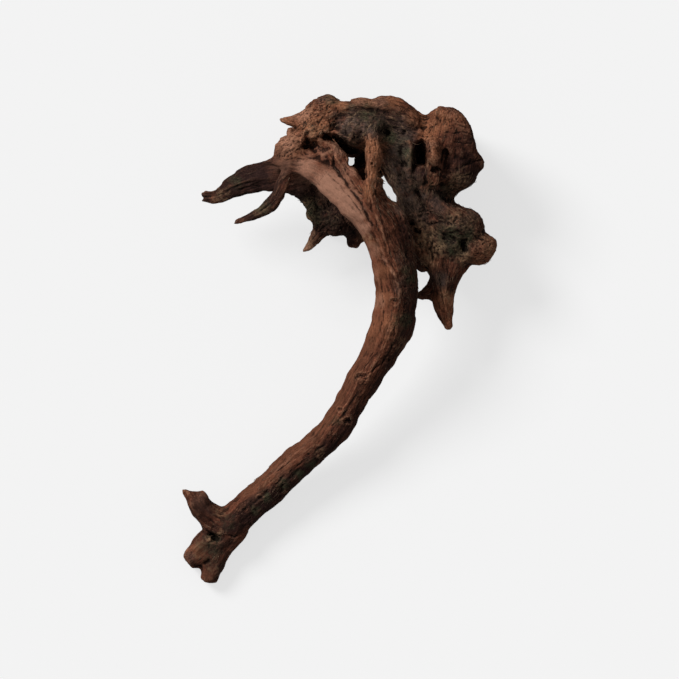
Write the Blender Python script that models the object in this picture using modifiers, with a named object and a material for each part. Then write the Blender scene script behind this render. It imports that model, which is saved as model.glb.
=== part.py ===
"""Aquarium driftwood, lying on its underside: a bent stem that rises from a forked foot to a knotted root crown.

The wood is first made whole, from limbs and knobs that are welded, hollowed and roughened together.
It is then parted at its main forks, so that each branch is a solid of its own with a thin kerf round it.
"""

import math

import bmesh
import bpy
from mathutils import Euler, Vector

MM = 0.001

# How the wood is welded and roughened
WELD_VOXEL = 1.6 * MM
FILLET_PASSES = 5
SOFTEN_PASSES = 2
LUMP_SIZE = 13 * MM
LUMP_HEIGHT = 2.4 * MM
RIDGE_SIZE = 6 * MM
RIDGE_HEIGHT = 1.1 * MM
TRIANGLES_IN_ALL = 8150
SAME_POINT = 0.001 * MM

# Limbs have an outline with a few lobes, which become flutes that twist along them.
OUTLINE_POINTS = 24
ROUTE_STEPS = 4
FLUTES = 5
FLUTE_DEPTH = 0.07
FLUTE_TWIST = 1.2
KNOB_DETAIL = 3

# How it is parted and set down
KERF = 0.3 * MM
FLOOR_BLOCK = 600 * MM
SAW_SIDES = 24
SMALLEST_BODY = 200 * MM**3

# A route is a list of centre-line points, each x, y, height and radius in millimetres.
# x runs along the width of the piece, y from its forked foot to its crown, and the floor is at height 0.
STEM = [
    (-86, -143, 13, 14),
    (-81, -138, 14, 13.6),
    (-72, -128, 16, 11.8),
    (-52, -111, 19, 11.6),
    (-32, -91.5, 24, 11.6),
    (-12, -74.5, 29, 11),
    (-2, -64, 33, 11.4),
    (8.5, -45.5, 39, 10.8),
    (15, -34, 43, 11.4),
    (26.5, -15.5, 50, 12.5),
    (35, 2, 56, 14.6),
    (40.5, 15, 61, 16),
    (42.3, 34, 68, 15.1),
    (42.4, 46, 73, 15.4),
    (40.7, 57, 77, 15.8),
    (36.9, 69, 81, 15.3),
    (31.5, 84, 85, 16),
    (23.5, 96.5, 88, 16),
    (12, 104.5, 89, 14.5),
    (2, 111.5, 89, 12.4),
    (-8, 119, 88, 10.8),
    (-17, 126, 86, 9.4),
    (-27, 130.3, 83.5, 7.6),
    (-40, 132.7, 80.5, 5.2),
    (-52, 133.6, 77.5, 3.2),
    (-62, 132.4, 75, 1.6),
]
MIDDLE_STRAND = [
    (-7, 150, 85, 8),
    (-2, 139.5, 90, 7),
    (5, 128, 94, 6.4),
    (12, 117, 97, 6),
    (20, 105, 98, 6),
    (28, 91, 95, 7),
    (36, 74, 88.5, 8),
    (41, 56, 80, 9),
]
OUTER_RIB = [(26, 112, 86, 5.5), (35, 103, 86, 7), (41, 91, 84, 8.5), (45, 76, 80, 9), (47.5, 58, 74, 9.5)]

THUMB = [
    (-84, -141, 14, 12),
    (-95, -134.5, 17, 10.8),
    (-103, -127, 20, 9.4),
    (-108, -120.5, 22.5, 8.8),
    (-108.5, -116.5, 24, 6.6),
]
THUMB_THORN = [(-111, -117, 24, 4), (-116, -114.5, 25, 3), (-118, -110.5, 26, 1.8)]
LEFT_TOE = [(-86, -143, 13, 12), (-97, -151.5, 11, 10.4), (-107, -160.5, 9, 9.4), (-114.5, -167, 8, 6.6)]
LOWER_TOE = [(-85, -146.6, 13, 11.2), (-90.8, -158.3, 10.5, 9.4), (-95.7, -170, 8.5, 8.2), (-98.6, -181.5, 7.8, 6.1)]

LONG_ROOT = [
    (-14, 134, 64, 12),
    (-32, 127, 61, 12),
    (-48, 123, 59, 12),
    (-62, 121.5, 56, 11),
    (-75, 117.5, 52, 9.6),
    (-86, 111, 48, 6.8),
    (-95, 107.3, 45, 5.4),
    (-105, 107.6, 43.5, 4.6),
]
SLIM_ROOT = [
    (-30, 138, 78, 6),
    (-38.5, 129, 80.5, 4.9),
    (-42.2, 119, 81.5, 4.9),
    (-46.2, 109, 79, 5.3),
    (-52.6, 100.2, 75, 5.1),
    (-60.5, 94.2, 71, 4.3),
    (-69.4, 90.3, 67, 3.4),
    (-76, 88.2, 64.5, 2.7),
    (-80.5, 85.5, 63, 1.9),
]
HORN = [(-16, 166.6, 76, 9), (-26, 165, 77, 7), (-33, 164.4, 78, 5.2), (-40, 164.4, 79, 3.4), (-47.3, 166.2, 80, 1.6)]
TUCKED_STUB = [(-30, 150, 68, 7), (-36, 155, 66, 4.6), (-38, 160, 65, 2.4)]

CROWN_ARCH = [
    (-24, 165, 66, 12),
    (-10, 166, 68, 14),
    (6, 162, 67, 16),
    (24, 160.5, 65, 19.5),
    (40, 158, 63, 21.5),
    (55, 150, 60, 20),
    (66, 145, 57, 20),
]
COLUMN = [(42, 150, 60, 18), (50, 134, 55, 19), (56, 117, 50, 17.5), (63, 101, 47, 19), (74, 86, 46, 21)]
UNDER_BRIDGE = [(34, 146, 42, 15), (22, 130, 38, 12.5), (8, 114, 37, 11.5), (-2, 102, 38, 13)]
LEFT_BACK = [(-14, 160, 54, 16), (-21, 142, 55, 16), (-24, 124, 51, 14), (-18, 109, 45, 12.5), (-7, 97, 41, 14)]

STRAP = [
    (25, 166, 76, 7),
    (25, 157, 89, 6),
    (24.4, 146, 97, 5.2),
    (24, 135, 101, 5),
    (23.4, 124, 104, 4.6),
    (22.4, 114, 105, 4),
    (23.5, 104, 102, 4.4),
    (27, 92, 96, 5),
]

RIGHT_LEG = [
    (81, 64, 46, 18),
    (79.5, 51, 47, 13.6),
    (78, 38, 46.5, 9),
    (77.7, 27, 45.5, 8),
    (79.8, 16, 44, 5.6),
    (82.4, 7.2, 43, 3),
]
LEG_SPUR = [(78, 43, 44, 8), (70, 37.8, 44, 6.4), (63.5, 34.4, 44, 4.6), (56.5, 32.8, 44, 2.4)]
LEFT_SPUR = [
    (-6, 93, 40, 11),
    (-12.8, 83.5, 38, 7.4),
    (-18.2, 76, 36, 4.9),
    (-23.8, 69.6, 34, 3.2),
    (-29, 64.8, 32.5, 1.7),
]
LEFT_STUB = [(5, 92, 38, 9), (9.5, 82, 36, 7.6), (12, 75.5, 34, 6)]
STUB_TEETH = [
    [(8.5, 79, 34, 3.4), (7, 72, 33, 2.6), (6.6, 68.6, 32.5, 1.8)],
    [(12.5, 77, 34, 3.6), (12, 71, 33, 2.8), (11.6, 68.2, 32.5, 1.8)],
    [(15, 80, 35, 4.4), (17.4, 75, 34, 3), (18.6, 72.4, 33.5, 1.8)],
]

# Raised edges along the crown
CROWN_RIDGES = [
    [(-9, 176.4, 80, 5), (8, 173.2, 84, 5), (26, 175.6, 84, 5.5), (44, 172.2, 80, 5), (59, 165, 76, 4.5)],
    [(72, 171, 76, 6), (88, 166, 82, 6), (96, 153, 82, 6), (99, 141, 77, 5), (106.5, 132, 68, 4)],
    [(70, 152, 84, 6), (70.5, 139, 87, 6), (69, 128, 82, 5.5), (72, 118, 74, 6)],
    [(50, 151, 78, 4), (51.5, 139, 80, 3.6), (51, 127, 75, 4), (54, 114, 69, 5)],
    [(40, 143, 76, 5), (43, 128, 70, 5), (50, 112, 65, 6), (55, 98, 62, 6.5), (58, 84, 57, 6)],
    [(62, 118, 70, 5), (70, 105, 68, 5.5), (80, 96, 68, 5.5), (92, 92, 66, 5), (102, 84, 60, 5)],
    [(-43, 145, 82, 5), (-33, 149, 85, 4.5), (-20, 157, 87, 5.5), (-8, 157, 88, 5)],
    [(58, 74, 54, 8), (64, 64, 56, 6), (72, 56, 57, 6), (77, 44, 55, 5), (79, 30, 51, 4)],
]

# Broken roots that grew downwards, which carry the piece, and the belly between them
STUMPS = [
    [(-6, 162, 56, 17), (-11, 160, 34, 15.5), (-16, 157, 14, 13), (-18, 156, -3, 11.5)],
    [(76, 146, 50, 22), (82, 148, 28, 18.5), (86, 146, 10, 14), (86, 145, -3, 12.5)],
    [(84, 82, 42, 20), (90, 79, 24, 15.5), (96, 77, 8, 11.5), (97, 77, -3, 10.5)],
    [(-4, 94, 38, 15), (-5, 92, 22, 12.5), (-7, 90, 6, 10), (-7, 90, -3, 9)],
    [(40, 152, 50, 21), (46, 147, 30, 17.5), (50, 140, 18, 10)],
]
STUMP_FLUTES = 0.14

# A knob is a centre, radii along x, y and height, and a turn about the vertical in degrees.
KNOBS = [
    ((-13, 166, 74), (16.5, 15.5, 18), 0),
    ((-8.5, 176.2, 74), (10.5, 8, 11), -12),
    ((-35.4, 144.2, 77), (14.4, 10.2, 13), 12),
    ((-20, 153, 80), (14, 10, 14), 0),
    ((-8, 150, 84), (9, 8, 10), 0),
    ((16, 160, 78), (22, 15, 16), 8),
    ((37, 168.5, 68), (20, 14.5, 20), -4),
    ((50, 163, 64), (14, 12, 20), -15),
    ((80, 151, 60), (21.5, 24.5, 28), 0),
    ((86, 131, 58), (18.5, 19.5, 25), 20),
    ((103, 132, 58), (6.5, 5, 8), -20),
    ((72, 117, 50), (20, 14, 19), 0),
    ((88.5, 85.3, 52), (22, 15.2, 21), -22),
    ((80, 77, 46), (22, 22, 20), 0),
    ((102.8, 69.6, 54), (16, 11.3, 13), 10),
    ((104, 64.5, 50), (10.5, 8.5, 11), 0),
    ((5, 147, 56), (14, 8.5, 14), -20),
    ((62, 73, 40), (12.5, 22, 16), 0),
    ((-3, 92, 43), (18, 14, 16), 0),
    ((-30.5, 115.6, 52), (13.5, 9.6, 12), -20),
    ((-41, 116, 50), (7, 7, 8), 0),
    ((-104.5, -118.5, 23.5), (7, 5.5, 7), 0),
    ((29, 118, 86), (5, 4, 5), 0),
    ((-17, 140, 78), (10, 6.5, 8.5), 0),
    ((-22.5, 94, 42), (4.5, 4.5, 7), 0),
]

# Hollows worn into the wood, in the same form
HOLLOWS = [
    ((-22, 146, 98), (6, 5, 9), 0),
    ((4, 146, 96), (15, 4.2, 22), -42),
    ((34, 156, 90), (5.5, 4.5, 8), 0),
    ((60, 138.5, 88), (6, 12, 24), 0),
    ((80, 135, 92), (4, 10, 18), 12),
    ((73, 127, 90), (7, 3, 11), -25),
    ((44, 131, 86), (8, 6, 12), -10),
    ((82, 74, 82), (12, 11, 13), 0),
    ((93, 68, 74), (4.5, 6.5, 14), -15),
    ((55, 86, 66), (3.5, 7, 9), 20),
    ((-95, -147.5, 23), (6.5, 3, 8), -25),
]

# Openings right through the wood
OPENINGS = [
    ((8.8, 132.6, 70), (4, 2.7, 60), -48),
    ((37.4, 110.6, 60), (4.2, 9.4, 60), 36),
]

# Where it is sawn apart at its forks: a point, the direction of the limb there and the reach of the saw.
FORKS = [
    ((38.5, 63, 79), (-0.33, 0.88, 0.32), 21),
    ((-7, 130, 88), (-0.8, 0.6, 0), 20),
    ((-96.3, -133.5, 17.5), (-0.77, 0.64, 0), 13),
    ((-89.3, -146.5, 13), (-0.35, -0.94, 0), 17),
    ((-53, 123, 60), (-1, 0, 0), 15),
    ((-42, 122.5, 81.2), (-0.45, -0.89, 0), 7.5),
    ((-34, 165, 78), (-1, 0, 0), 8),
    ((-8, 105.5, 42), (0, -1, 0), 27),
    ((64, 103.5, 50), (0.15, -0.98, 0), 29),
    ((80, 49.5, 47), (0, -1, 0), 17),
    ((24.6, 148, 96), (0.05, 0.8, -0.6), 7.8),
    ((23.3, 123.5, 104), (0.1, -1, 0.1), 6.5),
]

# Each branch with a point inside it, its colour and its roughness
BRANCHES = {
    "crown": ((34, 160, 66), (0.085, 0.055, 0.045), 0.85),
    "stem": ((26, -16, 50), (0.16, 0.07, 0.05), 0.75),
    "stem_top": ((12, 104, 89), (0.15, 0.075, 0.055), 0.75),
    "foot": ((-106, -160, 9), (0.13, 0.075, 0.055), 0.85),
    "foot_thumb": ((-105, -124, 21), (0.12, 0.07, 0.05), 0.85),
    "long_left_root": ((-75, 118, 54), (0.11, 0.06, 0.045), 0.8),
    "slim_left_root": ((-56, 99, 74), (0.09, 0.05, 0.04), 0.8),
    "top_left_horn": ((-39, 165, 79), (0.17, 0.1, 0.06), 0.85),
    "front_strap": ((24, 135, 101), (0.2, 0.1, 0.06), 0.8),
    "lower_left_root": ((-4, 92, 43), (0.06, 0.045, 0.04), 0.9),
    "lower_right_root": ((88, 80, 50), (0.08, 0.06, 0.045), 0.9),
    "lower_right_leg": ((78, 30, 46), (0.12, 0.08, 0.055), 0.85),
}


def clear_scene():
    for obj in list(bpy.data.objects):
        bpy.data.objects.remove(obj)


def new_collection(name):
    made = bpy.data.collections.new(name)
    bpy.context.scene.collection.children.link(made)
    return made


def new_object(name, data, collection):
    made = bpy.data.objects.new(name, data)
    collection.objects.link(made)
    return made


def evaluated_mesh(obj):
    """The object's mesh with its modifiers, or a curve's bevelled surface."""
    bpy.context.view_layer.update()
    graph = bpy.context.evaluated_depsgraph_get()
    return bpy.data.meshes.new_from_object(obj.evaluated_get(graph))


def smooth_route(points, steps=ROUTE_STEPS):
    """Points and radii on a Catmull-Rom curve through a route, in metres."""
    ends = [points[0], *points, points[-1]]
    found = []
    for before, start, end, after in zip(ends, ends[1:], ends[2:], ends[3:]):
        for step in range(steps):
            t = step / steps
            found.append(
                [
                    0.5 * MM * (2 * b + (c - a) * t + (2 * a - 5 * b + 4 * c - d) * t**2 + (3 * b - a - 3 * c + d) * t**3)
                    for a, b, c, d in zip(before, start, end, after)
                ]
            )
    return [*found, [value * MM for value in points[-1]]]


def lobed_profile(lobes, depth, flat, collection):
    """A closed outline of radius 1 whose lobes become ridges along a limb."""
    curve = bpy.data.curves.new("profile", "CURVE")
    curve.dimensions = "2D"
    spline = curve.splines.new("POLY")
    spline.points.add(OUTLINE_POINTS - 1)
    for i in range(OUTLINE_POINTS):
        angle = math.tau * i / OUTLINE_POINTS
        reach = 1 + depth * math.sin(lobes * angle) + 0.5 * depth * math.sin(2 * angle + 1)
        spline.points[i].co = (reach * math.cos(angle), flat * reach * math.sin(angle), 0, 1)
    spline.use_cyclic_u = True
    made = new_object("profile", curve, collection)
    made.hide_render = True
    return made


def limb(points, collection, lobes=FLUTES, depth=FLUTE_DEPTH, flat=1.0, twist=FLUTE_TWIST):
    """A tapered, faintly fluted branch along a route, as a closed mesh."""
    profile = lobed_profile(lobes, depth, flat, collection)
    curve = bpy.data.curves.new("limb", "CURVE")
    curve.dimensions = "3D"
    curve.twist_mode = "Z_UP"
    curve.bevel_mode = "OBJECT"
    curve.bevel_object = profile
    curve.use_fill_caps = True
    path = smooth_route(points)
    spline = curve.splines.new("POLY")
    spline.points.add(len(path) - 1)
    for i, (x, y, z, radius) in enumerate(path):
        spline.points[i].co = (x, y, z, 1)
        spline.points[i].radius = radius
        spline.points[i].tilt = twist * i / len(path)
    drawn = new_object("limb", curve, collection)
    made = new_object("limb_mesh", evaluated_mesh(drawn), collection)
    bpy.data.objects.remove(drawn)
    bpy.data.objects.remove(profile)
    return made


def knob(centre, radii, turn, collection):
    """A round swelling or, as a cutter, a hollow."""
    mesh = bpy.data.meshes.new("knob")
    ball = bmesh.new()
    bmesh.ops.create_icosphere(ball, subdivisions=KNOB_DETAIL, radius=1)
    bmesh.ops.scale(ball, vec=Vector(radii) * MM, verts=ball.verts)
    bmesh.ops.rotate(ball, matrix=Euler((0, 0, math.radians(turn))).to_matrix(), verts=ball.verts)
    bmesh.ops.translate(ball, vec=Vector(centre) * MM, verts=ball.verts)
    ball.to_mesh(mesh)
    ball.free()
    return new_object("knob", mesh, collection)


def joined(objects, name, collection):
    """One object that holds the meshes of several, which are removed."""
    made = bmesh.new()
    for obj in objects:
        made.from_mesh(obj.data)
    bmesh.ops.remove_doubles(made, verts=made.verts, dist=SAME_POINT)
    bmesh.ops.recalc_face_normals(made, faces=made.faces)
    mesh = bpy.data.meshes.new(name)
    made.to_mesh(mesh)
    made.free()
    for obj in objects:
        bpy.data.objects.remove(obj)
    return new_object(name, mesh, collection)


def settle(obj):
    """Turns an object's modifiers into its mesh."""
    mesh = evaluated_mesh(obj)
    obj.modifiers.clear()
    obj.data = mesh


def cut(obj, cutter, operation="DIFFERENCE"):
    boolean = obj.modifiers.new("cut", "BOOLEAN")
    boolean.operation = operation
    boolean.object = cutter
    boolean.use_self = False
    settle(obj)


def weld(obj, voxel=WELD_VOXEL, passes=FILLET_PASSES):
    """Fuses overlapping shapes into one skin, and rounds the creases between them."""
    remesh = obj.modifiers.new("weld", "REMESH")
    remesh.mode = "VOXEL"
    remesh.voxel_size = voxel
    fillet = obj.modifiers.new("fillet", "SMOOTH")
    fillet.factor = 0.5
    fillet.iterations = passes
    settle(obj)


def roughen(obj, kind, size, height):
    texture = bpy.data.textures.new("rough", kind)
    texture.noise_scale = size
    displace = obj.modifiers.new("rough", "DISPLACE")
    displace.texture = texture
    displace.texture_coords = "GLOBAL"
    displace.strength = height
    settle(obj)


def stem_shapes(workshop):
    yield limb(STEM, workshop, lobes=4, depth=0.06)
    yield limb(MIDDLE_STRAND, workshop)
    yield limb(OUTER_RIB, workshop)


def foot_shapes(workshop):
    yield limb(THUMB, workshop, flat=0.8)
    yield limb(THUMB_THORN, workshop)
    yield limb(LEFT_TOE, workshop)
    yield limb(LOWER_TOE, workshop)


def left_shapes(workshop):
    yield limb(LONG_ROOT, workshop, flat=0.75, twist=0.3)
    yield limb(SLIM_ROOT, workshop)
    yield limb(HORN, workshop)
    yield limb(TUCKED_STUB, workshop)
    yield limb(LEFT_SPUR, workshop)
    yield limb(LEFT_STUB, workshop)
    for tooth in STUB_TEETH:
        yield limb(tooth, workshop)


def crown_shapes(workshop):
    yield limb(CROWN_ARCH, workshop)
    yield limb(COLUMN, workshop)
    yield limb(UNDER_BRIDGE, workshop)
    yield limb(LEFT_BACK, workshop)
    yield limb(STRAP, workshop)
    yield limb(RIGHT_LEG, workshop, lobes=6)
    yield limb(LEG_SPUR, workshop)
    for route in CROWN_RIDGES:
        yield limb(route, workshop)
    for route in STUMPS:
        yield limb(route, workshop, depth=STUMP_FLUTES)
    for centre, radii, turn in KNOBS:
        yield knob(centre, radii, turn, workshop)


def loose_bodies(obj, collection):
    """The separate closed shells of an object, without crumbs and sealed bubbles. The object is removed."""
    whole = bmesh.new()
    whole.from_mesh(obj.data)
    whole.verts.ensure_lookup_table()
    seen = set()
    bodies = []
    for start in whole.verts:
        if start.index in seen:
            continue
        shell = {start.index}
        edge_of_search = [start]
        while edge_of_search:
            vertex = edge_of_search.pop()
            for edge in vertex.link_edges:
                other = edge.other_vert(vertex)
                if other.index not in shell:
                    shell.add(other.index)
                    edge_of_search.append(other)
        seen |= shell
        body = whole.copy()
        body.verts.ensure_lookup_table()
        bmesh.ops.delete(body, geom=[v for v in body.verts if v.index not in shell], context="VERTS")
        if body.calc_volume(signed=True) > SMALLEST_BODY:
            mesh = bpy.data.meshes.new("body")
            body.to_mesh(mesh)
            bodies.append(new_object("body", mesh, collection))
        body.free()
    whole.free()
    bpy.data.objects.remove(obj)
    return bodies


def saw_cut(obj, point, direction, reach, collection):
    """A thin flat kerf across a limb."""
    mesh = bpy.data.meshes.new("saw")
    blade = bmesh.new()
    radius = reach * MM
    bmesh.ops.create_cone(blade, cap_ends=True, segments=SAW_SIDES, radius1=radius, radius2=radius, depth=KERF)
    turn = Vector((0, 0, 1)).rotation_difference(Vector(direction)).to_matrix()
    bmesh.ops.rotate(blade, matrix=turn, verts=blade.verts)
    bmesh.ops.translate(blade, vec=Vector(point) * MM, verts=blade.verts)
    blade.to_mesh(mesh)
    blade.free()
    saw = new_object("saw", mesh, collection)
    cut(obj, saw)
    bpy.data.objects.remove(saw)


def whole_wood(workshop):
    """The whole piece as one skin, welded, hollowed and roughened."""
    shapes = [*stem_shapes(workshop), *foot_shapes(workshop), *left_shapes(workshop), *crown_shapes(workshop)]
    wood = joined(shapes, "wood", workshop)
    weld(wood)
    for centre, radii, turn in HOLLOWS + OPENINGS:
        hollow = knob(centre, radii, turn, workshop)
        cut(wood, hollow)
        bpy.data.objects.remove(hollow)
    weld(wood, passes=SOFTEN_PASSES)
    roughen(wood, "CLOUDS", LUMP_SIZE, LUMP_HEIGHT)
    roughen(wood, "CLOUDS", RIDGE_SIZE, RIDGE_HEIGHT)
    thin = wood.modifiers.new("thin", "DECIMATE")
    thin.ratio = TRIANGLES_IN_ALL / (2 * len(wood.data.polygons))
    settle(wood)
    return max(loose_bodies(wood, workshop), key=lambda body: len(body.data.vertices))


def wear_underside(wood, collection):
    """Cuts everything below the floor away, so that the stumps and the foot stand on flats."""
    mesh = bpy.data.meshes.new("floor")
    block = bmesh.new()
    bmesh.ops.create_cube(block, size=FLOOR_BLOCK)
    bmesh.ops.translate(block, vec=(0, 0, -FLOOR_BLOCK / 2), verts=block.verts)
    block.to_mesh(mesh)
    block.free()
    floor = new_object("floor", mesh, collection)
    cut(wood, floor)
    bpy.data.objects.remove(floor)


def nearest(bodies, point):
    """The body whose surface comes nearest to a point on its centre line."""
    place = Vector(point) * MM
    return min(bodies, key=lambda body: min((v.co - place).length for v in body.data.vertices))


def centre_on_floor(parts):
    """Moves all parts together, so that the origin is under the middle of their box."""
    corners = [v.co for part in parts for v in part.data.vertices]
    low = [min(c[i] for c in corners) for i in range(3)]
    high = [max(c[i] for c in corners) for i in range(3)]
    shift = Vector((-(low[0] + high[0]) / 2, -(low[1] + high[1]) / 2, -low[2]))
    for part in parts:
        for v in part.data.vertices:
            v.co += shift
    print("moved by", [round(value / MM, 3) for value in shift])


def paint(part, colour, roughness):
    material = bpy.data.materials.new(part.name + "_wood")
    material.use_nodes = True
    shader = material.node_tree.nodes["Principled BSDF"]
    shader.inputs["Base Color"].default_value = (*colour, 1)
    shader.inputs["Roughness"].default_value = roughness
    shader.inputs["Metallic"].default_value = 0
    part.data.materials.clear()
    part.data.materials.append(material)


def main():
    clear_scene()
    workshop = new_collection("workshop")
    driftwood = new_collection("aquarium_driftwood")
    wood = whole_wood(workshop)
    wear_underside(wood, workshop)
    for point, direction, reach in FORKS:
        saw_cut(wood, point, direction, reach, workshop)
    bodies = loose_bodies(wood, workshop)
    for name, (point, colour, roughness) in BRANCHES.items():
        part = nearest(bodies, point)
        bodies.remove(part)
        part.name = name
        part.data.name = name
        workshop.objects.unlink(part)
        driftwood.objects.link(part)
        paint(part, colour, roughness)
    centre_on_floor(list(driftwood.objects))


main()
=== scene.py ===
# %% [markdown]
# # A piece of aquarium driftwood
#
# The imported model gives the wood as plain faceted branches. This lesson turns them into weathered wood:
# one continuous skin is grown over all branches, carved with hollows, cracks and grain, coloured by
# masks that belong to places on the wood, and cut back into one piece for each branch.

import math

import bmesh
import bpy
import numpy as np
from mathutils import Matrix, Vector
from mathutils.bvhtree import BVHTree
from mathutils.kdtree import KDTree


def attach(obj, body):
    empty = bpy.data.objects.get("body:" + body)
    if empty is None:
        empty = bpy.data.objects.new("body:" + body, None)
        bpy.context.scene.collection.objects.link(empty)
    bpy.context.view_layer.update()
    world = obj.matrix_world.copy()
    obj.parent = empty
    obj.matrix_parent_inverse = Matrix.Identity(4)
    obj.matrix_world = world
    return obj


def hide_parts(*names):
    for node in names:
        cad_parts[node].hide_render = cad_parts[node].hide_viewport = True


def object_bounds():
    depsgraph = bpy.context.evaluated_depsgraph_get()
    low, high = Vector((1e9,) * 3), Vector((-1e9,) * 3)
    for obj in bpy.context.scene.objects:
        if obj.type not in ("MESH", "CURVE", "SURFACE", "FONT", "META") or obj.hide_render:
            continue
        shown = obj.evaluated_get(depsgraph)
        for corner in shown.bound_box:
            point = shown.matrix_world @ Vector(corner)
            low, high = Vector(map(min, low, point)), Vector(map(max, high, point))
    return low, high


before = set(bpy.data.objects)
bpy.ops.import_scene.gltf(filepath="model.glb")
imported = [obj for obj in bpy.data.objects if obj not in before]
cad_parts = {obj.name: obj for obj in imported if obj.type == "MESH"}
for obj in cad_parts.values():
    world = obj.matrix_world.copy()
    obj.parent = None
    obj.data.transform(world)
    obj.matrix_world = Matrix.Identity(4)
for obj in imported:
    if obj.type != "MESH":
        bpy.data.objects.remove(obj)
cad_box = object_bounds()
MM = 0.001
BRANCHES = sorted(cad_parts)
print("branches:", ", ".join(BRANCHES))

# %% [markdown]
# ## Coordinates
#
# All places below are in millimetres as one looks down on the piece: x to the right, y towards the crown,
# both from the middle of the view, and z the height above the floor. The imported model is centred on
# its own box instead, which lies a little to one side, so one small shift joins the two.

# %% Shift between the view and the model
VIEW_SHIFT = np.array([0.298, -1.215, 0.0])


def to_view(points):
    """Model points in metres, as places in the view in millimetres."""
    return points / MM - VIEW_SHIFT


def to_model(points):
    """Places in the view in millimetres, as model points in metres."""
    return (points + VIEW_SHIFT) * MM


# %% [markdown]
# ## One skin over all branches
#
# The branches are separate solids with thin kerfs between them, but the real wood is one piece. Each
# branch is copied, swollen until the kerfs close, and the lot is remeshed into a single skin of small
# even faces. Subdividing each branch would be simpler, but it would keep the kerfs as visible rings.

# %% Copy and swell the branches
SWELL = 0.25 * MM
SAME_POINT = 0.001 * MM
FIRST_VOXEL = 1.0 * MM
# Small swellings that grow between the branches: centre and half sizes, in millimetres.
FILLS = [
    ((-11, 136, 82), (6.5, 6.5, 9)),
    ((-13, 133, 80), (6, 5, 9)),
    ((27.6, 137, 98), (4.6, 12, 4.6)),
    ((9.5, 139.6, 48), (5.5, 3.4, 9)),
    ((16, 179, 66), (9, 3, 7)),
    ((60.5, 124, 70), (6, 9, 10)),
    ((79.6, 135.5, 73), (5, 10, 9.5)),
    ((90.5, 141, 79), (6, 6, 5.5)),
]


def add_fills(whole):
    for centre, sizes in FILLS:
        matrix = Matrix.Translation(Vector(to_model(np.array(centre, float))))
        matrix = matrix @ Matrix.Diagonal(Vector(sizes) * MM).to_4x4()
        bmesh.ops.create_icosphere(whole, subdivisions=3, radius=1.0, matrix=matrix)


def swollen_branches():
    whole = bmesh.new()
    for name in BRANCHES:
        branch = bmesh.new()
        branch.from_mesh(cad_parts[name].data)
        bmesh.ops.remove_doubles(branch, verts=branch.verts, dist=SAME_POINT)
        branch.normal_update()
        for vertex in branch.verts:
            vertex.co += vertex.normal * SWELL
        mesh = bpy.data.meshes.new("swollen")
        branch.to_mesh(mesh)
        branch.free()
        whole.from_mesh(mesh)
        bpy.data.meshes.remove(mesh)
    add_fills(whole)
    mesh = bpy.data.meshes.new("branches")
    whole.to_mesh(mesh)
    whole.free()
    return mesh


def remeshed(mesh, voxel):
    """The mesh as one closed skin of small even faces. The old mesh is removed."""
    holder = bpy.data.objects.new("holder", mesh)
    bpy.context.scene.collection.objects.link(holder)
    remesh = holder.modifiers.new("skin", "REMESH")
    remesh.mode = "VOXEL"
    remesh.voxel_size = voxel
    bpy.context.view_layer.update()
    made = bpy.data.meshes.new_from_object(holder.evaluated_get(bpy.context.evaluated_depsgraph_get()))
    bpy.data.objects.remove(holder)
    bpy.data.meshes.remove(mesh)
    return made


skin = remeshed(swollen_branches(), FIRST_VOXEL)
print("first skin:", len(skin.vertices), "points")

# %% [markdown]
# ## Working on the skin as arrays
#
# The skin has hundreds of thousands of points, so it is shaped with arrays rather than point by point.
# Smoothing moves each point towards its neighbours. Plain smoothing shrinks thin tips, so each pass in
# is followed by a slightly stronger pass out, which removes the facets but keeps the size.

# %% Arrays and smoothing
SMOOTH_IN = 0.5
SMOOTH_OUT = -0.52


def points_of(mesh):
    flat = np.empty(len(mesh.vertices) * 3, np.float32)
    mesh.vertices.foreach_get("co", flat)
    return to_view(flat.reshape(-1, 3).astype(np.float64))


def put_points(mesh, points):
    mesh.vertices.foreach_set("co", to_model(points).astype(np.float32).ravel())
    mesh.update()


def normals_of(mesh):
    flat = np.empty(len(mesh.vertices) * 3, np.float32)
    mesh.vertex_normals.foreach_get("vector", flat)
    return flat.reshape(-1, 3).astype(np.float64)


def edges_of(mesh):
    flat = np.empty(len(mesh.edges) * 2, np.int32)
    mesh.edges.foreach_get("vertices", flat)
    return flat.reshape(-1, 2)


def neighbour_mean(values, edges):
    """The mean of each point's neighbours, for one or three values a point."""
    count = len(values)
    ends = np.concatenate([edges[:, 0], edges[:, 1]])
    others = np.concatenate([edges[:, 1], edges[:, 0]])
    shares = np.bincount(ends, minlength=count)
    shares[shares == 0] = 1
    if values.ndim == 1:
        return np.bincount(ends, values[others], count) / shares
    return np.stack([np.bincount(ends, values[others, k], count) / shares for k in range(3)], axis=1)


def softened(points, edges, passes):
    for _ in range(passes):
        for step in (SMOOTH_IN, SMOOTH_OUT):
            points = points + step * (neighbour_mean(points, edges) - points)
    return points


FACET_PASSES = 22
put_points(skin, softened(points_of(skin), edges_of(skin), FACET_PASSES))
put_points(skin, points_of(skin) - normals_of(skin) * SWELL / MM)

# %% [markdown]
# ## Noise
#
# Wood needs irregular but repeatable detail. Gradient noise gives each corner of a lattice a random slope
# and blends the slopes between corners. The table of slopes is seeded, so every run gives the same wood.

# %% Gradient noise
SEED = 27
TABLE = 256
dice = np.random.default_rng(SEED)
SHUFFLE = np.concatenate([order := dice.permutation(TABLE), order, order[:2]])
SLOPES = dice.normal(size=(TABLE, 3))
SLOPES /= np.linalg.norm(SLOPES, axis=1)[:, None]
NOISE_GAIN = 1.5


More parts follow.
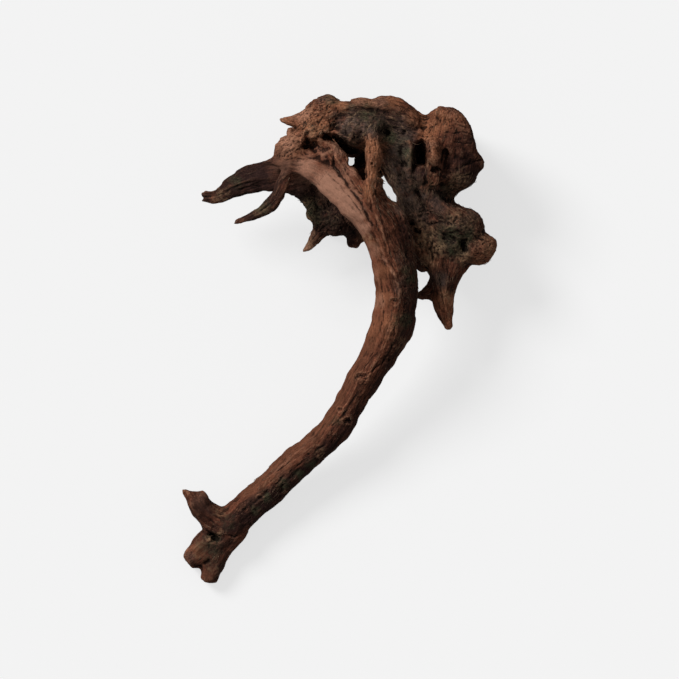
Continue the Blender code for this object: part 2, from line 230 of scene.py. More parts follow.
def noise(cells):
    """Smooth noise, about -1 to 1, at places given in lattice cells."""
    low = np.floor(cells)
    part = cells - low
    low = low.astype(np.int64) & (TABLE - 1)
    blend = part**3 * (part * (part * 6 - 15) + 10)
    total = np.zeros(len(cells))
    for dx in (0, 1):
        row = SHUFFLE[low[:, 0] + dx]
        share_x = blend[:, 0] if dx else 1 - blend[:, 0]
        for dy in (0, 1):
            column = SHUFFLE[row + low[:, 1] + dy]
            share_y = blend[:, 1] if dy else 1 - blend[:, 1]
            for dz in (0, 1):
                slope = SLOPES[SHUFFLE[(column + low[:, 2] + dz)]]
                share_z = blend[:, 2] if dz else 1 - blend[:, 2]
                reach = (part - (dx, dy, dz)) * slope
                total += share_x * share_y * share_z * reach.sum(1)
    return total * NOISE_GAIN


def layered_noise(points, size, layers=3, fade=0.55, offset=0.0):
    """Noise of a given feature size in millimetres, with finer layers on top."""
    total = np.zeros(len(points))
    strength = 1.0
    for layer in range(layers):
        total += strength * noise(points * 2**layer / size + offset + 17.3 * layer)
        strength *= fade
    return total


def ramp(values, start, end):
    """0 below start, 1 above end, and smooth between them."""
    t = np.clip((values - start) / (end - start), 0, 1)
    return t * t * (3 - 2 * t)


# %% [markdown]
# ## Broken lines on the wood
#
# Cracks, grooves, ledges and hollows are drawn as broken lines in the view. For each point near a line
# this gives the distance from it, so that the depth can fall off to the sides. The places are first
# disturbed with noise, because no crack in wood is straight.

# %% Distance from a drawn line
WANDER = 1.3
WANDER_SIZE = 7.0


def near_line(places, line, width):
    """Which points lie near a line, their distance over its half width, and the share along it."""
    line = np.array(line, float)
    reach = 3 * width
    low = line.min(0) - reach
    high = line.max(0) + reach
    near = np.flatnonzero(((places[:, :2] > low) & (places[:, :2] < high)).all(1))
    here = places[near, :2]
    if len(line) == 1:
        return near, np.linalg.norm(here - line[0], axis=1) / width, np.full(len(near), 0.5)
    steps = np.linalg.norm(np.diff(line, axis=0), axis=1)
    starts = np.concatenate([[0], np.cumsum(steps)])
    best = np.full(len(near), 1e9)
    along = np.zeros(len(near))
    for i, step in enumerate(steps):
        way = (line[i + 1] - line[i]) / step
        t = np.clip((here - line[i]) @ way, 0, step)
        gap = np.linalg.norm(here - line[i] - t[:, None] * way, axis=1)
        closer = gap < best
        best[closer] = gap[closer]
        along[closer] = (starts[i] + t[closer]) / starts[-1]
    return near, best / width, along


def wandering(points, amount=WANDER):
    """The points moved sideways by noise, for looking up drawn lines."""
    moved = points.copy()
    moved[:, 0] += amount * layered_noise(points, WANDER_SIZE, 2, offset=3.1)
    moved[:, 1] += amount * layered_noise(points, WANDER_SIZE, 2, offset=41.7)
    return moved


# %% [markdown]
# ## Hollows and ledges
#
# The crown has rotted out in deep dark hollows with overhanging rims. Each hollow here is pushed straight
# down, because one looks into it from above, and the skin is remeshed afterwards so that its steep walls
# get enough faces. Ledges and crests are the same with a negative depth.

# %% Hollows, ledges and crests of the crown
# Each one: the line, its half width, its depth, and the lowest height at which it works, in millimetres.
HOLLOWS = [
    ([(-24, 147.2), (-20.2, 146)], 4.2, 8, 60),
    ([(-24.5, 156), (-24.5, 149)], 1.6, 3, 60),
    ([(-10, 152.2), (-1, 149), (7, 142.5), (13, 137.5)], 3.0, 12, 66),
    ([(15, 138), (18.2, 131), (18, 123)], 2.0, 8, 60),
    ([(35, 155.6)], 2.6, 4.5, 60),
    ([(48, 155.5)], 1.4, 1.5, 60),
    ([(15.5, 152)], 3.4, 1.6, 60),
    ([(60.6, 145), (60.8, 140), (60.4, 135)], 3.8, 8, 40),
    ([(80.3, 142), (80, 137), (78.8, 133)], 1.1, 1.6, 50),
    ([(66.5, 132.4), (69.5, 130.6), (74, 128)], 1.2, 2.6, 45),
    ([(53, 87.5)], 2.0, 4, 40),
    ([(57.5, 82), (59.5, 81)], 2.0, 6, 40),
    ([(93, 74), (94, 68)], 2.6, 4.5, 30),
    ([(82, 78), (90, 76)], 5.0, 3, 30),
    ([(49, 143), (49.5, 133)], 4.0, 2.2, 40),
    ([(32, 128), (36, 124)], 4.0, 6, 40),
    ([(-96, -146.6), (-92.6, -149.4)], 2.0, 2.8, 5),
    ([(-101, -167), (-98.2, -165.6)], 1.4, 1.4, 2),
]
CRESTS = [
    ([(52.3, 148), (52, 138), (52, 130)], 2.2, 1.2, 55),
    ([(70, 147), (70.8, 140), (72.5, 133)], 3.6, 2.5, 55),
    ([(70, 115), (78, 113), (86, 112.5)], 2.0, 2, 35),
    ([(-9, 178), (8, 175.5), (26, 177), (44, 173)], 2.2, 1.2, 60),
    ([(49, 167), (58, 162), (70, 164)], 2.4, 1.6, 50),
    ([(103, 134), (107, 131)], 2.2, 1.5, 40),
    ([(-5, 155.5), (4, 151.5), (12, 145.5), (18, 143)], 1.8, 2.6, 66),
    ([(-34, 138), (-20, 139), (-8, 141)], 2.0, 1.6, 60),
]


def pushed(points, normals, features, sign):
    looked_up = wandering(points, WANDER * 0.8)
    for line, width, depth, lowest in features:
        near, gap, along = near_line(looked_up, line, width)
        fall = np.exp(-(gap**4) * 0.9)
        fade = ramp(points[near, 2], lowest - 4, lowest) * ramp(normals[near, 2], -0.1, 0.35)
        points[near, 2] += sign * depth * fall * fade
    return points


place = points_of(skin)
facing = normals_of(skin)
place = pushed(place, facing, HOLLOWS, -1)
place = pushed(place, facing, CRESTS, 1)
put_points(skin, place)

# %% [markdown]
# ## Lumps
#
# Broad swellings break up the roundness of the limbs before the fine skin is made.

# %% Swell the skin unevenly
LUMP_SIZE = 9.0
LUMP_HEIGHT = 0.55
# Places where the outline is pushed a little: x, y, reach, and the push in x and y.
NUDGES = [
    (-25, 179, 5, 0.8, -0.8),
    (60, 177, 14, -0.3, -1.0),
    (98, 166, 13, -1.0, -0.8),
    (103, 150, 9, -1.2, 0),
    (100, 119, 8, 0.8, -0.8),
    (103, 96, 8, 0.7, 0.9),
    (113, 80, 7, -0.8, -0.6),
    (92, 46, 9, -0.9, 0.5),
    (86, 33, 7, -0.7, 0),
    (-60, 95, 10, -0.3, 1.2),
    (-74, 90, 9, -0.2, 1.4),
    (-50, 139, 5, -1.0, 0),
    (-26, 96, 5, 1.1, 0),
    (-28, 67, 5, -0.8, -0.6),
    (-13, 76, 4, 0.3, 0.8),
    (-104.6, 106.4, 1.4, 2.4, 0),
    (109, 81.4, 2.2, -1.8, 0),
    (5, 72, 3, -0.8, 0),
    (25, 26, 9, 0.8, 0),
    (57, 20, 9, -0.8, 0),
]


def nudged(points):
    moved = points.copy()
    for x, y, reach, push_x, push_y in NUDGES:
        share = np.exp(-((points[:, 0] - x) ** 2 + (points[:, 1] - y) ** 2) / reach**2)
        moved[:, 0] += share * push_x
        moved[:, 1] += share * push_y
    return moved


place = points_of(skin)
place += normals_of(skin) * (LUMP_HEIGHT * layered_noise(place, LUMP_SIZE, 2))[:, None]
put_points(skin, nudged(place))

FINE_VOXEL = 0.62 * MM
FINE_PASSES = 4
skin = remeshed(skin, FINE_VOXEL)
links = edges_of(skin)
put_points(skin, softened(points_of(skin), links, FINE_PASSES))
print("fine skin:", len(skin.vertices), "points,", len(skin.polygons), "faces")

# %% [markdown]
# ## Grain that follows the limbs
#
# The fibres of wood run along each limb. Every limb has a centre line, and each point of the skin gets
# its place along the nearest lines and across them. Noise that is stretched along the line then looks
# like fibres, and where limbs meet their noises are blended, which gives the swirls seen at forks.

# %% Centre lines of the limbs
# x, y, height and radius in millimetres.
LIMBS = {
    "stem": [
        (-90, -148, 12, 13),
        (-72, -128, 16, 12),
        (-52, -111, 19, 11.6),
        (-32, -91.5, 24, 11.6),
        (-12, -74.5, 29, 11),
        (8.5, -45.5, 39, 11),
        (26.5, -15.5, 50, 12.5),
        (40.5, 15, 61, 16),
        (42, 46, 73, 16),
        (36.5, 69, 81, 15.6),
        (23.5, 96.5, 88, 16),
        (2, 111.5, 89, 12.4),
        (-17, 126, 86, 9.4),
        (-40, 132.7, 80.5, 6),
        (-62, 132.4, 75, 3),
    ],
    "middle_strand": [
        (-7, 150, 85, 7),
        (5, 128, 94, 6.4),
        (20, 105, 98, 6),
        (36, 74, 88.5, 7),
        (41, 56, 80, 8),
    ],
    "outer_rib": [
        (26, 112, 86, 6),
        (35, 103, 86, 7),
        (41, 91, 84, 8.5),
        (45, 76, 80, 9),
        (47.5, 58, 74, 9.5),
    ],
    "thumb": [(-80, -138, 14, 11), (-95, -134.5, 17, 10.8), (-105, -125, 21, 9), (-111, -115, 24, 6)],
    "left_toe": [(-84, -141, 13, 11), (-97, -151.5, 11, 10.4), (-107, -160.5, 9, 9.4), (-116, -168, 8, 7)],
    "lower_toe": [
        (-82, -141, 13, 11),
        (-90, -158.5, 10.5, 9.8),
        (-95.5, -170, 8.5, 8.4),
        (-99, -184, 7.8, 7),
    ],
    "long_root": [
        (-14, 134, 64, 12),
        (-48, 123, 59, 11),
        (-75, 117.5, 52, 9),
        (-95, 107.3, 45, 6),
        (-108, 107, 43, 5),
    ],
    "slim_root": [
        (-30, 138, 78, 6),
        (-43.5, 119.5, 81.5, 5),
        (-54, 101.5, 75, 5),
        (-70, 91.3, 67, 4),
        (-82, 84, 62, 3),
    ],
    "horn": [(-10, 168, 74, 12), (-26, 165.6, 77, 8), (-40, 165, 79, 5), (-50, 168, 80, 3)],
    "crown_arch": [
        (-30, 163, 66, 12),
        (-10, 166, 68, 14),
        (24, 160.5, 65, 19),
        (55, 152, 60, 20),
        (66, 148, 57, 18),
    ],
    "column": [(44, 146, 60, 16), (50, 134, 55, 18), (56, 117, 50, 17), (63, 101, 47, 18), (70, 88, 46, 18)],
    "bridge": [
        (34, 146, 42, 15),
        (22, 130, 38, 12.5),
        (8, 114, 37, 11.5),
        (-2, 102, 38, 13),
        (-6, 84, 36, 10),
    ],
    "left_back": [(-14, 160, 54, 16), (-24, 140, 55, 15), (-24, 124, 51, 14), (-18, 109, 45, 12.5)],
    "left_block": [(-54, 137, 76, 9), (-36, 145, 78, 12), (-20, 153, 80, 13), (-6, 158, 80, 10)],
    "strap": [
        (25, 166, 76, 7),
        (24.4, 146, 97, 6),
        (24, 135, 101, 5.5),
        (22.4, 114, 105, 4.6),
        (27, 92, 96, 5),
    ],
    "right_knob": [(92, 178, 60, 12), (86, 155, 62, 22), (82, 130, 62, 20), (76, 106, 56, 14)],
    "right_lobe": [(64, 98, 48, 14), (82, 84, 50, 20), (98, 72, 52, 17), (116, 64, 50, 12)],
    "right_leg": [(81, 70, 48, 16), (79.5, 51, 47, 13), (77.7, 27, 45.5, 8), (81.3, 4, 43, 4)],
    "leg_spur": [(80, 43, 44, 8), (66, 36, 44, 5.6), (54, 32, 44, 3)],
    "left_spur": [(-4, 100, 40, 12), (-13.5, 84, 38, 8), (-24.5, 70.3, 34, 4), (-32, 62, 32, 2)],
}
LINE_STEPS = 4


def smooth_line(route):
    """A Catmull-Rom curve through a route, as points and radii."""
    route = np.array(route, float)
    ends = np.vstack([route[:1], route, route[-1:]])
    found = []
    for i in range(len(route) - 1):
        a, b, c, d = ends[i : i + 4]
        for step in range(LINE_STEPS):
            t = step / LINE_STEPS
            squared = (2 * a - 5 * b + 4 * c - d) * t**2
            cubed = (3 * b - a - 3 * c + d) * t**3
            found.append(0.5 * (2 * b + (c - a) * t + squared + cubed))
    found.append(route[-1])
    return np.array(found)


def line_frames(line):
    """Direction, length and two directions across for each stretch, turned as little as possible."""
    steps = np.diff(line[:, :3], axis=0)
    lengths = np.linalg.norm(steps, axis=1)
    ways = steps / lengths[:, None]
    across = np.cross(ways[0], (0.0, 0.0, 1.0))
    sides = []
    for way in ways:
        across = across - way * (across @ way)
        across /= np.linalg.norm(across)
        sides.append(across.copy())
    sides = np.array(sides)
    return ways, lengths, sides, np.cross(ways, sides)


LIMB_REACH = 26.0


def limb_places(points, route):
    """Points near a limb, their distance from its line in radii, their places on it, and its direction."""
    line = smooth_line(route)
    ways, lengths, sides, ups = line_frames(line)
    starts = np.concatenate([[0], np.cumsum(lengths)])
    low = line[:, :3].min(0) - LIMB_REACH
    high = line[:, :3].max(0) + LIMB_REACH
    near = np.flatnonzero(((points > low) & (points < high)).all(1))
    here = points[near]
    best = np.full(len(near), 1e9)
    found = np.zeros((len(near), 3))
    heading = np.zeros((len(near), 3))
    for i, length in enumerate(lengths):
        gap = here - line[i, :3]
        run = gap @ ways[i]
        t = np.clip(run, 0, length)
        radius = line[i, 3] + (line[i + 1, 3] - line[i, 3]) * t / length
        away = np.linalg.norm(gap - t[:, None] * ways[i], axis=1) / radius
        closer = away < best
        best[closer] = away[closer]
        found[closer, 0] = starts[i] + run[closer]
        found[closer, 1] = gap[closer] @ sides[i]
        found[closer, 2] = gap[closer] @ ups[i]
        heading[closer] = ways[i]
    return near, best, found, heading


# %% [markdown]
# ## Blending the grains
#
# Near a fork a point lies close to several limbs. Each limb's share falls steeply with its distance, so
# one grain leads nearly everywhere and the change between two happens in a narrow band, as in real wood.
# The same shares blend five noises: fibres, fine fibres, splits, short dashes and the tone of the wood.

# %% Blend the grain of all limbs
LIMB_CORE = 0.15
LIMB_SHARPNESS = 9
LEAST_SHARE = 0.03
GRAIN_LONG = (34.0, 3.2)
GRAIN_SHORT = (13.0, 1.35)
GRAIN_CRACK = (26.0, 2.3)
GRAIN_TONE = (45.0, 2.6)
GRAIN_DASH = (7.0, 1.25)
TONE_FROM_FIBRES = 0.6
GRAIN_BEND = 1.6
GRAIN_BEND_SIZE = 16.0
LIMB_OFFSET = 11.7


def stretched(places, size, offset):
    return noise(places / np.array([size[0], size[1], size[1]]) + offset)


place = points_of(skin)
bend = GRAIN_BEND * np.stack([noise(place / GRAIN_BEND_SIZE + k) for k in (5.5, 19.5, 33.5)], axis=1)
measured = {name: limb_places(place, route) for name, route in LIMBS.items()}
share_sum = np.full(len(place), 1e-6)
for near, away, _, _ in measured.values():
    share_sum[near] += (LIMB_CORE + away) ** -LIMB_SHARPNESS

fibre = np.zeros(len(place))
fine_fibre = np.zeros(len(place))
split = np.zeros(len(place))
dash = np.zeros(len(place))
tone = np.zeros(len(place))
grain = place.copy()
fibre_way = np.zeros((len(place), 3))
best_share = np.zeros(len(place))
for number, (near, away, found, heading) in enumerate(measured.values()):
    share = (LIMB_CORE + away) ** -LIMB_SHARPNESS / share_sum[near]
    kept = share > LEAST_SHARE
    near, share, heading = near[kept], share[kept], heading[kept]
    found = found[kept] + bend[near]
    offset = LIMB_OFFSET * number
    short = stretched(found, GRAIN_SHORT, offset + 3)
    fibre[near] += share * stretched(found, GRAIN_LONG, offset)
    fine_fibre[near] += share * short
    split[near] += share * np.abs(stretched(found, GRAIN_CRACK, offset + 6))
    dash[near] += share * stretched(found, GRAIN_DASH, offset + 12)
    tone[near] += share * (stretched(found, GRAIN_TONE, offset + 9) + TONE_FROM_FIBRES * short)
    leads = share > best_share[near]
    grain[near[leads]] = found[leads] + offset
    fibre_way[near[leads]] = heading[leads]
    best_share[near[leads]] = share[leads]
print("limbs:", len(LIMBS), "- points led by one limb:", round(float((best_share > 0.8).mean()), 2))

# %% [markdown]
# ## Where the wood is smooth and where it is gnarled
#
# The stem is long straight-grained wood. The crown is a burl: lumpy, pitted and short-grained. Each place
# gets a share of gnarl from a few soft spots. Spots are also used for the colours further down.

# %% Soft spots on the wood
SPOT_WANDER = 2.5


def spots(points, centres):
    """0 to 1 near the given centres: x, y, radius and strength."""
    moved = wandering(points, SPOT_WANDER)
    total = np.zeros(len(points))
    for x, y, radius, strength in centres:
        gap = (moved[:, 0] - x) ** 2 + (moved[:, 1] - y) ** 2
        total = np.maximum(total, strength * np.exp(-((gap / radius**2) ** 1.5)))
    return total


SPOT_STEP = 5.0
# The edges of the stem, from its top to its foot. The one at the left faces the light and is painted paler
# as a highlight; the ones at the right and below face away from it and are painted darker as shade.
LEFT_TOP = [(24, 68), (29, 50), (31, 33), (28, 14)]
LEFT_LOW = [(28, 14), (17, -8), (3, -34), (-16, -64), (-34, -82), (-52, -99), (-69, -114)]
RIGHT_EDGE = [(51, 84), (54, 66), (55, 50), (55, 35), (53, 18), (47, -2), (37, -24), (19, -52), (-6, -80)]
LOWER_EDGE = [(-6, -80), (-21, -96), (-37, -109), (-53, -121), (-68, -132), (-82, -140)]


def strung(line, radius, strength):
    """Soft spots strung along a line, so closely that they join."""
    beads = []
    for (ax, ay), (bx, by) in zip(line, line[1:]):
        count = math.ceil(math.hypot(bx - ax, by - ay) / SPOT_STEP)
        for i in range(count + 1):
            beads.append((ax + (bx - ax) * i / count, ay + (by - ay) * i / count, radius, strength))
    return beads


GNARLED = [
    (-36, 148, 13, 0.8),
    (-15, 168, 17, 0.85),
    (-14, 148, 10, 0.5),
    (30, 160, 26, 0.4),
    (62, 154, 16, 0.45),
    (88, 170, 13, 0.5),
    (90, 146, 20, 0.3),
    (84, 118, 18, 0.55),
    (48, 120, 16, 0.55),
    (60, 92, 16, 0.8),
    (86, 80, 24, 0.75),
    (108, 68, 14, 0.6),
    (17, -28, 6, 0.6),
    (5, -60, 6, 0.6),
    (-94, -149, 9, 0.6),
    (24, 150, 9, 0.6),
    (48, 84, 9, 0.5),
    (51, 62, 8, 0.55),
    (52, 40, 8, 0.55),
    (50, 18, 8, 0.5),
    (38, -12, 9, 0.45),
    (22, -44, 8, 0.4),
    (-16, -88, 10, 0.45),
    (-46, -112, 11, 0.55),
    (-70, -132, 11, 0.55),
]
LOW_GNARLED = [(-8, 92, 22, 0.75), (-24, 108, 14, 0.6)]
LOW_TOP = (60, 66)
SHOULDER_FROM = 76
BLEACHED_AND_HIGHLIGHT = [
    (-52, 122, 9, 0.5),
    (-66, 120, 10, 0.6),
    (-82, 113, 9, 0.5),
    (-66, 93, 9, 0.4),
    (90, 150, 16, 0.4),
    (-8, 114, 15, 1.0),
    (4, 104, 13, 1.0),
    (-2, 100, 10, 1.0),
    (13, 93, 10, 1.0),
    (18, 80, 8, 0.9),
    (-26, 130, 12, 0.8),
    (-30, 137, 8, 0.8),
    (-15, 136, 7, 0.8),
    (-42, 132, 8, 0.7),
    (-13, 141, 6, 0.7),
    # Painted highlight: the lit left edge of the stem is made smooth and pale.
    *strung(LEFT_TOP, 9, 0.75),
    *strung(LEFT_LOW, 9, 0.55),
    (86, 76, 9, 0.65),
    (84, 68, 6, 0.5),
    (-98, -126, 12, 0.85),
    (-104, -158, 9, 0.7),
    (-95, -174, 9, 0.7),
    (-86, -142, 9, 0.5),
]
low_share = 1 - ramp(place[:, 2], *LOW_TOP)
gnarl = np.maximum(spots(place, GNARLED), spots(place, LOW_GNARLED) * low_share)
bleached_and_highlight = spots(place, BLEACHED_AND_HIGHLIGHT) * np.where(place[:, 1] > SHOULDER_FROM, 1 - low_share, 1.0)
print("gnarled:", round(float(gnarl.mean()), 2), "bleached:", round(float(bleached_and_highlight.mean()), 2))

# %% Grooves, cracks and ribs
# Each one: the line, its half width, its depth, and the lowest height at which it works.
GROOVES = [
    ([(-4.5, 143), (-4.8, 131), (1, 122), (9, 112), (15, 104), (19.5, 94), (24, 86), (27, 77)], 1.1, 2.4, 70),
    ([(-12, 127), (-1, 117), (8, 106), (15, 97), (20, 87)], 0.6, 0.6, 70),
    ([(-1, 137), (6, 123), (13, 113), (17, 107)], 0.7, 1.5, 75),
    ([(22, 109), (23.5, 98), (27.5, 88), (30, 78)], 0.7, 0.6, 60),
    ([(29, 123), (27.4, 113), (24.6, 106.5)], 0.8, 1.5, 75),
    ([(28, 110), (29, 100), (32, 88), (36, 72), (41, 57), (45, 42), (45.8, 30), (44, 20)], 0.9, 0.8, 55),
    ([(33, 104), (38, 92), (41, 80), (45, 66)], 0.6, 0.5, 55),
    ([(40, 98), (45, 84), (48.5, 70), (51, 56)], 0.6, 0.4, 50),
    ([(-14, 106), (-11, 97), (-14, 88), (-20, 80)], 0.9, 1.2, 30),
    ([(-6, 98), (-2, 89), (3, 81)], 0.8, 1.0, 30),
    ([(-20, 108), (-17, 99), (-20, 92)], 0.8, 1.0, 30),
    ([(2, 92), (8, 84), (12, 78)], 0.8, 0.9, 30),
    ([(30.4, 47), (31.6, 32), (32.5, 17), (30, 2)], 0.7, 0.6, 45),
    ([(41.6, 13), (39, -8), (30, -19), (19, -27)], 0.8, 1.1, 40),
    ([(47, 8), (43, -4), (35, -18)], 0.6, 0.8, 35),
    ([(26, -6), (18, -22), (10, -34)], 0.6, 0.7, 35),
    ([(12, -40), (4, -54), (-8, -67)], 0.7, 0.8, 28),
    ([(-8, -76), (-26, -89), (-44, -104), (-60, -118), (-70, -127)], 0.9, 1.0, 15),
    ([(-24, -80), (-38, -91), (-50, -101)], 0.6, 0.6, 15),
    ([(-86, -146), (-80, -147), (-74, -146)], 0.9, 1.2, 10),
    ([(-50, 130), (-38, 131), (-26, 131.6)], 0.6, 0.4, 70),
    ([(-42, 135), (-30, 136.5), (-20, 136.6)], 0.7, 0.5, 70),
    ([(78, 156), (86, 155), (94, 156), (101, 153)], 0.6, 1.2, 45),
    ([(84, 149), (92, 148), (100, 147)], 0.5, 0.8, 45),
    ([(86, 162), (92, 161), (98, 159)], 0.5, 0.7, 45),
    ([(90, 129), (96, 132), (102, 134.5), (107, 135)], 0.8, 1.6, 40),
    ([(88, 122), (96, 124), (102, 126)], 0.6, 1.0, 40),
    ([(66, 152), (65.5, 146), (66.5, 140)], 0.8, 1.6, 50),
    ([(48, 112), (51, 104), (56, 94)], 0.5, 0.6, 40),
    ([(56, 124), (58, 114), (62, 106)], 0.5, 0.6, 40),
    ([(-105, 107.4), (-101, 107.3), (-96, 108)], 0.8, 2.0, 30),
    ([(66, 86), (72, 88), (80, 88), (88, 86)], 0.9, 1.4, 40),
    ([(62, 80), (60, 72), (62, 62)], 0.8, 1.3, 35),
    ([(70, 78), (68, 68), (70, 58)], 0.8, 1.3, 35),
    ([(74, 58), (75, 46), (76, 34), (78, 20)], 0.7, 1.1, 35),
    ([(84, 56), (82, 42), (80, 30)], 0.7, 1.0, 35),
    ([(98, 80), (104, 76), (112, 74)], 0.8, 1.2, 35),
    ([(-62, 120), (-76, 116), (-88, 110), (-100, 107)], 0.7, 1.1, 40),
    ([(-48, 118), (-64, 116), (-78, 112)], 0.7, 0.9, 40),
    ([(-44, 115), (-51, 104), (-61, 95.5), (-71, 90.5)], 0.5, 0.8, 60),
    ([(-8, 88), (-15, 82), (-22, 74)], 0.7, 1.0, 30),
    ([(22, 150), (22.5, 140), (22, 128), (21.5, 116)], 0.6, 0.8, 90),
    ([(26.5, 152), (26.5, 140), (26, 126)], 0.6, 0.8, 90),
    ([(-98, -120), (-95, -126)], 0.6, 0.4, 15),
    ([(34.6, 62.4), (39.4, 54.8), (43.6, 46), (46.6, 38), (47.6, 28)], 0.7, 0.9, 50),
    ([(10, 168), (4, 160), (5, 152)], 0.6, 0.9, 70),
    ([(16, 164), (10, 157), (11, 149)], 0.6, 0.9, 70),
    ([(-10, 172), (-14, 164), (-18, 158)], 0.7, 1.0, 70),
]
RIBS = [
    ([(30.4, 63), (36.4, 56.6), (42.4, 44.6), (44.7, 38), (45.6, 28)], 1.5, 1.1, 60),
    ([(27, 52), (29, 40), (30, 26)], 1.3, 0.5, 50),
    ([(26, 96), (31, 84), (35, 72)], 1.3, 1.0, 70),
    ([(6, 148), (10, 156), (10, 164)], 1.2, 0.9, 70),
    ([(38, 130), (44, 118), (46, 106)], 1.3, 1.0, 45),
    ([(-97.5, -146), (-97.5, -151)], 1.2, 1.4, 10),
    ([(-24, 78), (-30, 68)], 1.2, 0.8, 25),
]
# Small knots: x, y, radius and depth of the swirl round them.
KNOTS = [
    (40.9, 28.8, 4.0, 0.8),
    (16.9, -27.4, 4.6, 1.5),
    (5.6, -60.4, 4.0, 1.3),
    (24.1, 132.4, 1.6, 1.8),
    (0, -52, 2.6, 0.7),
    (60, 72, 3.6, 0.9),
    (-60, -118, 2.6, 0.8),
]


def cut_depth(points, normals, lines):
    """How deep each point is cut by a set of drawn lines, in millimetres."""
    looked_up = wandering(points, 0.9)
    roughly = np.clip(0.62 + 0.75 * layered_noise(points, 6.0, 2, offset=7.9), 0, 1.4)
    total = np.zeros(len(points))
    for line, width, depth, lowest in lines:
        near, gap, along = near_line(looked_up, line, width)
        taper = ramp(along, 0, 0.14) * ramp(1 - along, 0, 0.14) if len(line) > 1 else 1.0
        fade = ramp(points[near, 2], lowest - 3, lowest) * ramp(normals[near, 2], 0.0, 0.3)
        deep = depth * np.exp(-(gap**2)) * taper * fade * roughly[near]
        total[near] = np.maximum(total[near], deep)
    return total


# Lines painted pale as a highlight where the light catches them: the crest of the stem, and the rims of the
# block and the long root.
CREST_HIGHLIGHTS = [
    ([(29, 66), (34, 60), (37.6, 54.6), (41.6, 46), (44, 39), (45, 30)], 1.5, 0.8, 40),
    ([(27, 78), (30, 70), (33, 63)], 1.2, 0.5, 40),
    ([(39, 24), (38, 12), (33, 0)], 1.2, 0.4, 40),
    ([(-50, 126), (-66, 123), (-80, 117), (-92, 111)], 1.1, 0.35, 40),
    ([(-34, 138), (-22, 139)], 1.0, 0.5, 60),
    ([(-5, 155.5), (4, 151.5), (11, 146)], 0.9, 0.5, 60),
    ([(-14, -66), (-28, -80), (-44, -94), (-58, -106)], 1.4, 0.5, 10),
    ([(-105, -155), (-97, -148)], 1.2, 0.4, 5),
]
# Single pale fibres: those that fan out over the dome, and those over the pit at the right.
PALE_FIBRES = [
    ([(27, 168), (16, 163), (7, 154), (3, 148)], 0.5, 0.5, 60),
    ([(28, 166), (20, 158), (15, 149)], 0.5, 0.45, 60),
    ([(30, 170), (15, 171), (4, 166)], 0.5, 0.45, 60),
    ([(24, 171), (12, 167), (2, 158)], 0.4, 0.4, 60),
    ([(36, 169), (45, 163), (51, 154)], 0.5, 0.45, 60),
    ([(34, 166), (40, 158), (43, 150)], 0.4, 0.4, 60),
    ([(38, 171), (50, 167), (56, 160)], 0.5, 0.4, 60),
    ([(76.4, 81.6), (80.6, 85), (86.6, 86.6), (93, 87)], 0.5, 0.8, 40),
    ([(98, 79), (103, 79.6), (108, 80)], 0.5, 0.6, 40),
    ([(72, 84), (69, 78), (70, 70), (74, 64)], 0.5, 0.6, 40),
    ([(88, 60), (94, 60), (99, 63)], 0.5, 0.6, 40),
    ([(-22, 101), (-17, 97), (-15, 90)], 0.5, 0.6, 20),
    ([(-12, 98), (-6, 95), (0, 90)], 0.4, 0.5, 20),
]
KNOT_WANDER = 1.4


def knot_swirl(points, normals):
    """Rings round each small knot, with a dimple in its middle."""
    looked_up = wandering(points, KNOT_WANDER)
    total = np.zeros(len(points))
    for x, y, radius, depth in KNOTS:
        near, gap, _ = near_line(looked_up, [(x - 0.3 * radius, y), (x + 0.3 * radius, y)], radius)
        rings = 0.3 * np.cos(gap * 2.2 * math.tau) * np.exp(-((gap / 0.8) ** 2))
        dimple = np.exp(-((gap / 0.35) ** 2)) - 0.45 * np.exp(-(((gap - 0.8) / 0.3) ** 2))
        total[near] += depth * (dimple + rings) * ramp(normals[near, 2], 0.1, 0.5)
    return total


facing = normals_of(skin)
grooves = cut_depth(place, facing, GROOVES)
ribs = cut_depth(place, facing, RIBS)
knots = knot_swirl(place, facing)
print("grooves:", len(GROOVES), "- deepest", round(float(grooves.max()), 2), "mm")

# %% [markdown]
# ## Pits
#
# Small holes, eaten by insects and worn by water, are strewn over the gnarled places. Each is a dimple
# round a randomly chosen point of the skin, more often where the wood is gnarled.

# %% Strew pits
PITS = 900
PIT_SIZES = (0.5, 1.5)
PIT_DEPTH = 0.65
dice = np.random.default_rng(SEED + 1)
chance = (gnarl * (1 - bleached_and_highlight)) ** 2 + 0.0002 * (1 - bleached_and_highlight)
chosen = dice.choice(len(place), PITS, replace=False, p=chance / chance.sum())
tree = KDTree(len(place))
for index, point in enumerate(place):
    tree.insert(point, index)
tree.balance()
pits = np.zeros(len(place))
for start in chosen:
    size = dice.uniform(*PIT_SIZES)
    for _, index, gap in tree.find_range(place[start], size * 1.6):
        pits[index] = max(pits[index], math.exp(-((gap / (0.62 * size)) ** 2)) * size * PIT_DEPTH)
print("pits:", PITS, "- touched points:", int((pits > 0.05).sum()))

# %% [markdown]
# ## Carve the fine skin
#
# All reliefs are added up and every point is moved along its normal. The stem gets long fibres, and the
# gnarled places get knobbly noise in several layers. The skin is kept inside the size of the real model.

# %% Add up the reliefs
FIBRE_HEIGHT = 0.5
FINE_FIBRE_HEIGHT = 0.22
SPLIT_DEPTH = 0.45
SPLIT_EDGE = 0.075
GNARL_SIZE = 5.2
GNARL_HEIGHT = 0.85
CRUST_SIZE = 1.9
CRUST_HEIGHT = 0.22

splits = SPLIT_DEPTH * (1 - ramp(split, 0, SPLIT_EDGE)) * ramp(noise(place / 11 + 2.2), -0.15, 0.35)
knobbly = 1 - 2 * np.abs(layered_noise(place, GNARL_SIZE, 3))
crust = layered_noise(place, CRUST_SIZE, 2, offset=9.1)
relief = (FIBRE_HEIGHT * (1 - 0.45 * gnarl) * fibre + FINE_FIBRE_HEIGHT * fine_fibre) * (1 - 0.7 * bleached_and_highlight)
relief += GNARL_HEIGHT * gnarl * (knobbly - 0.4) + CRUST_HEIGHT * (0.35 + gnarl) * crust
relief += ribs - grooves - knots - pits - splits * (1 - bleached_and_highlight)

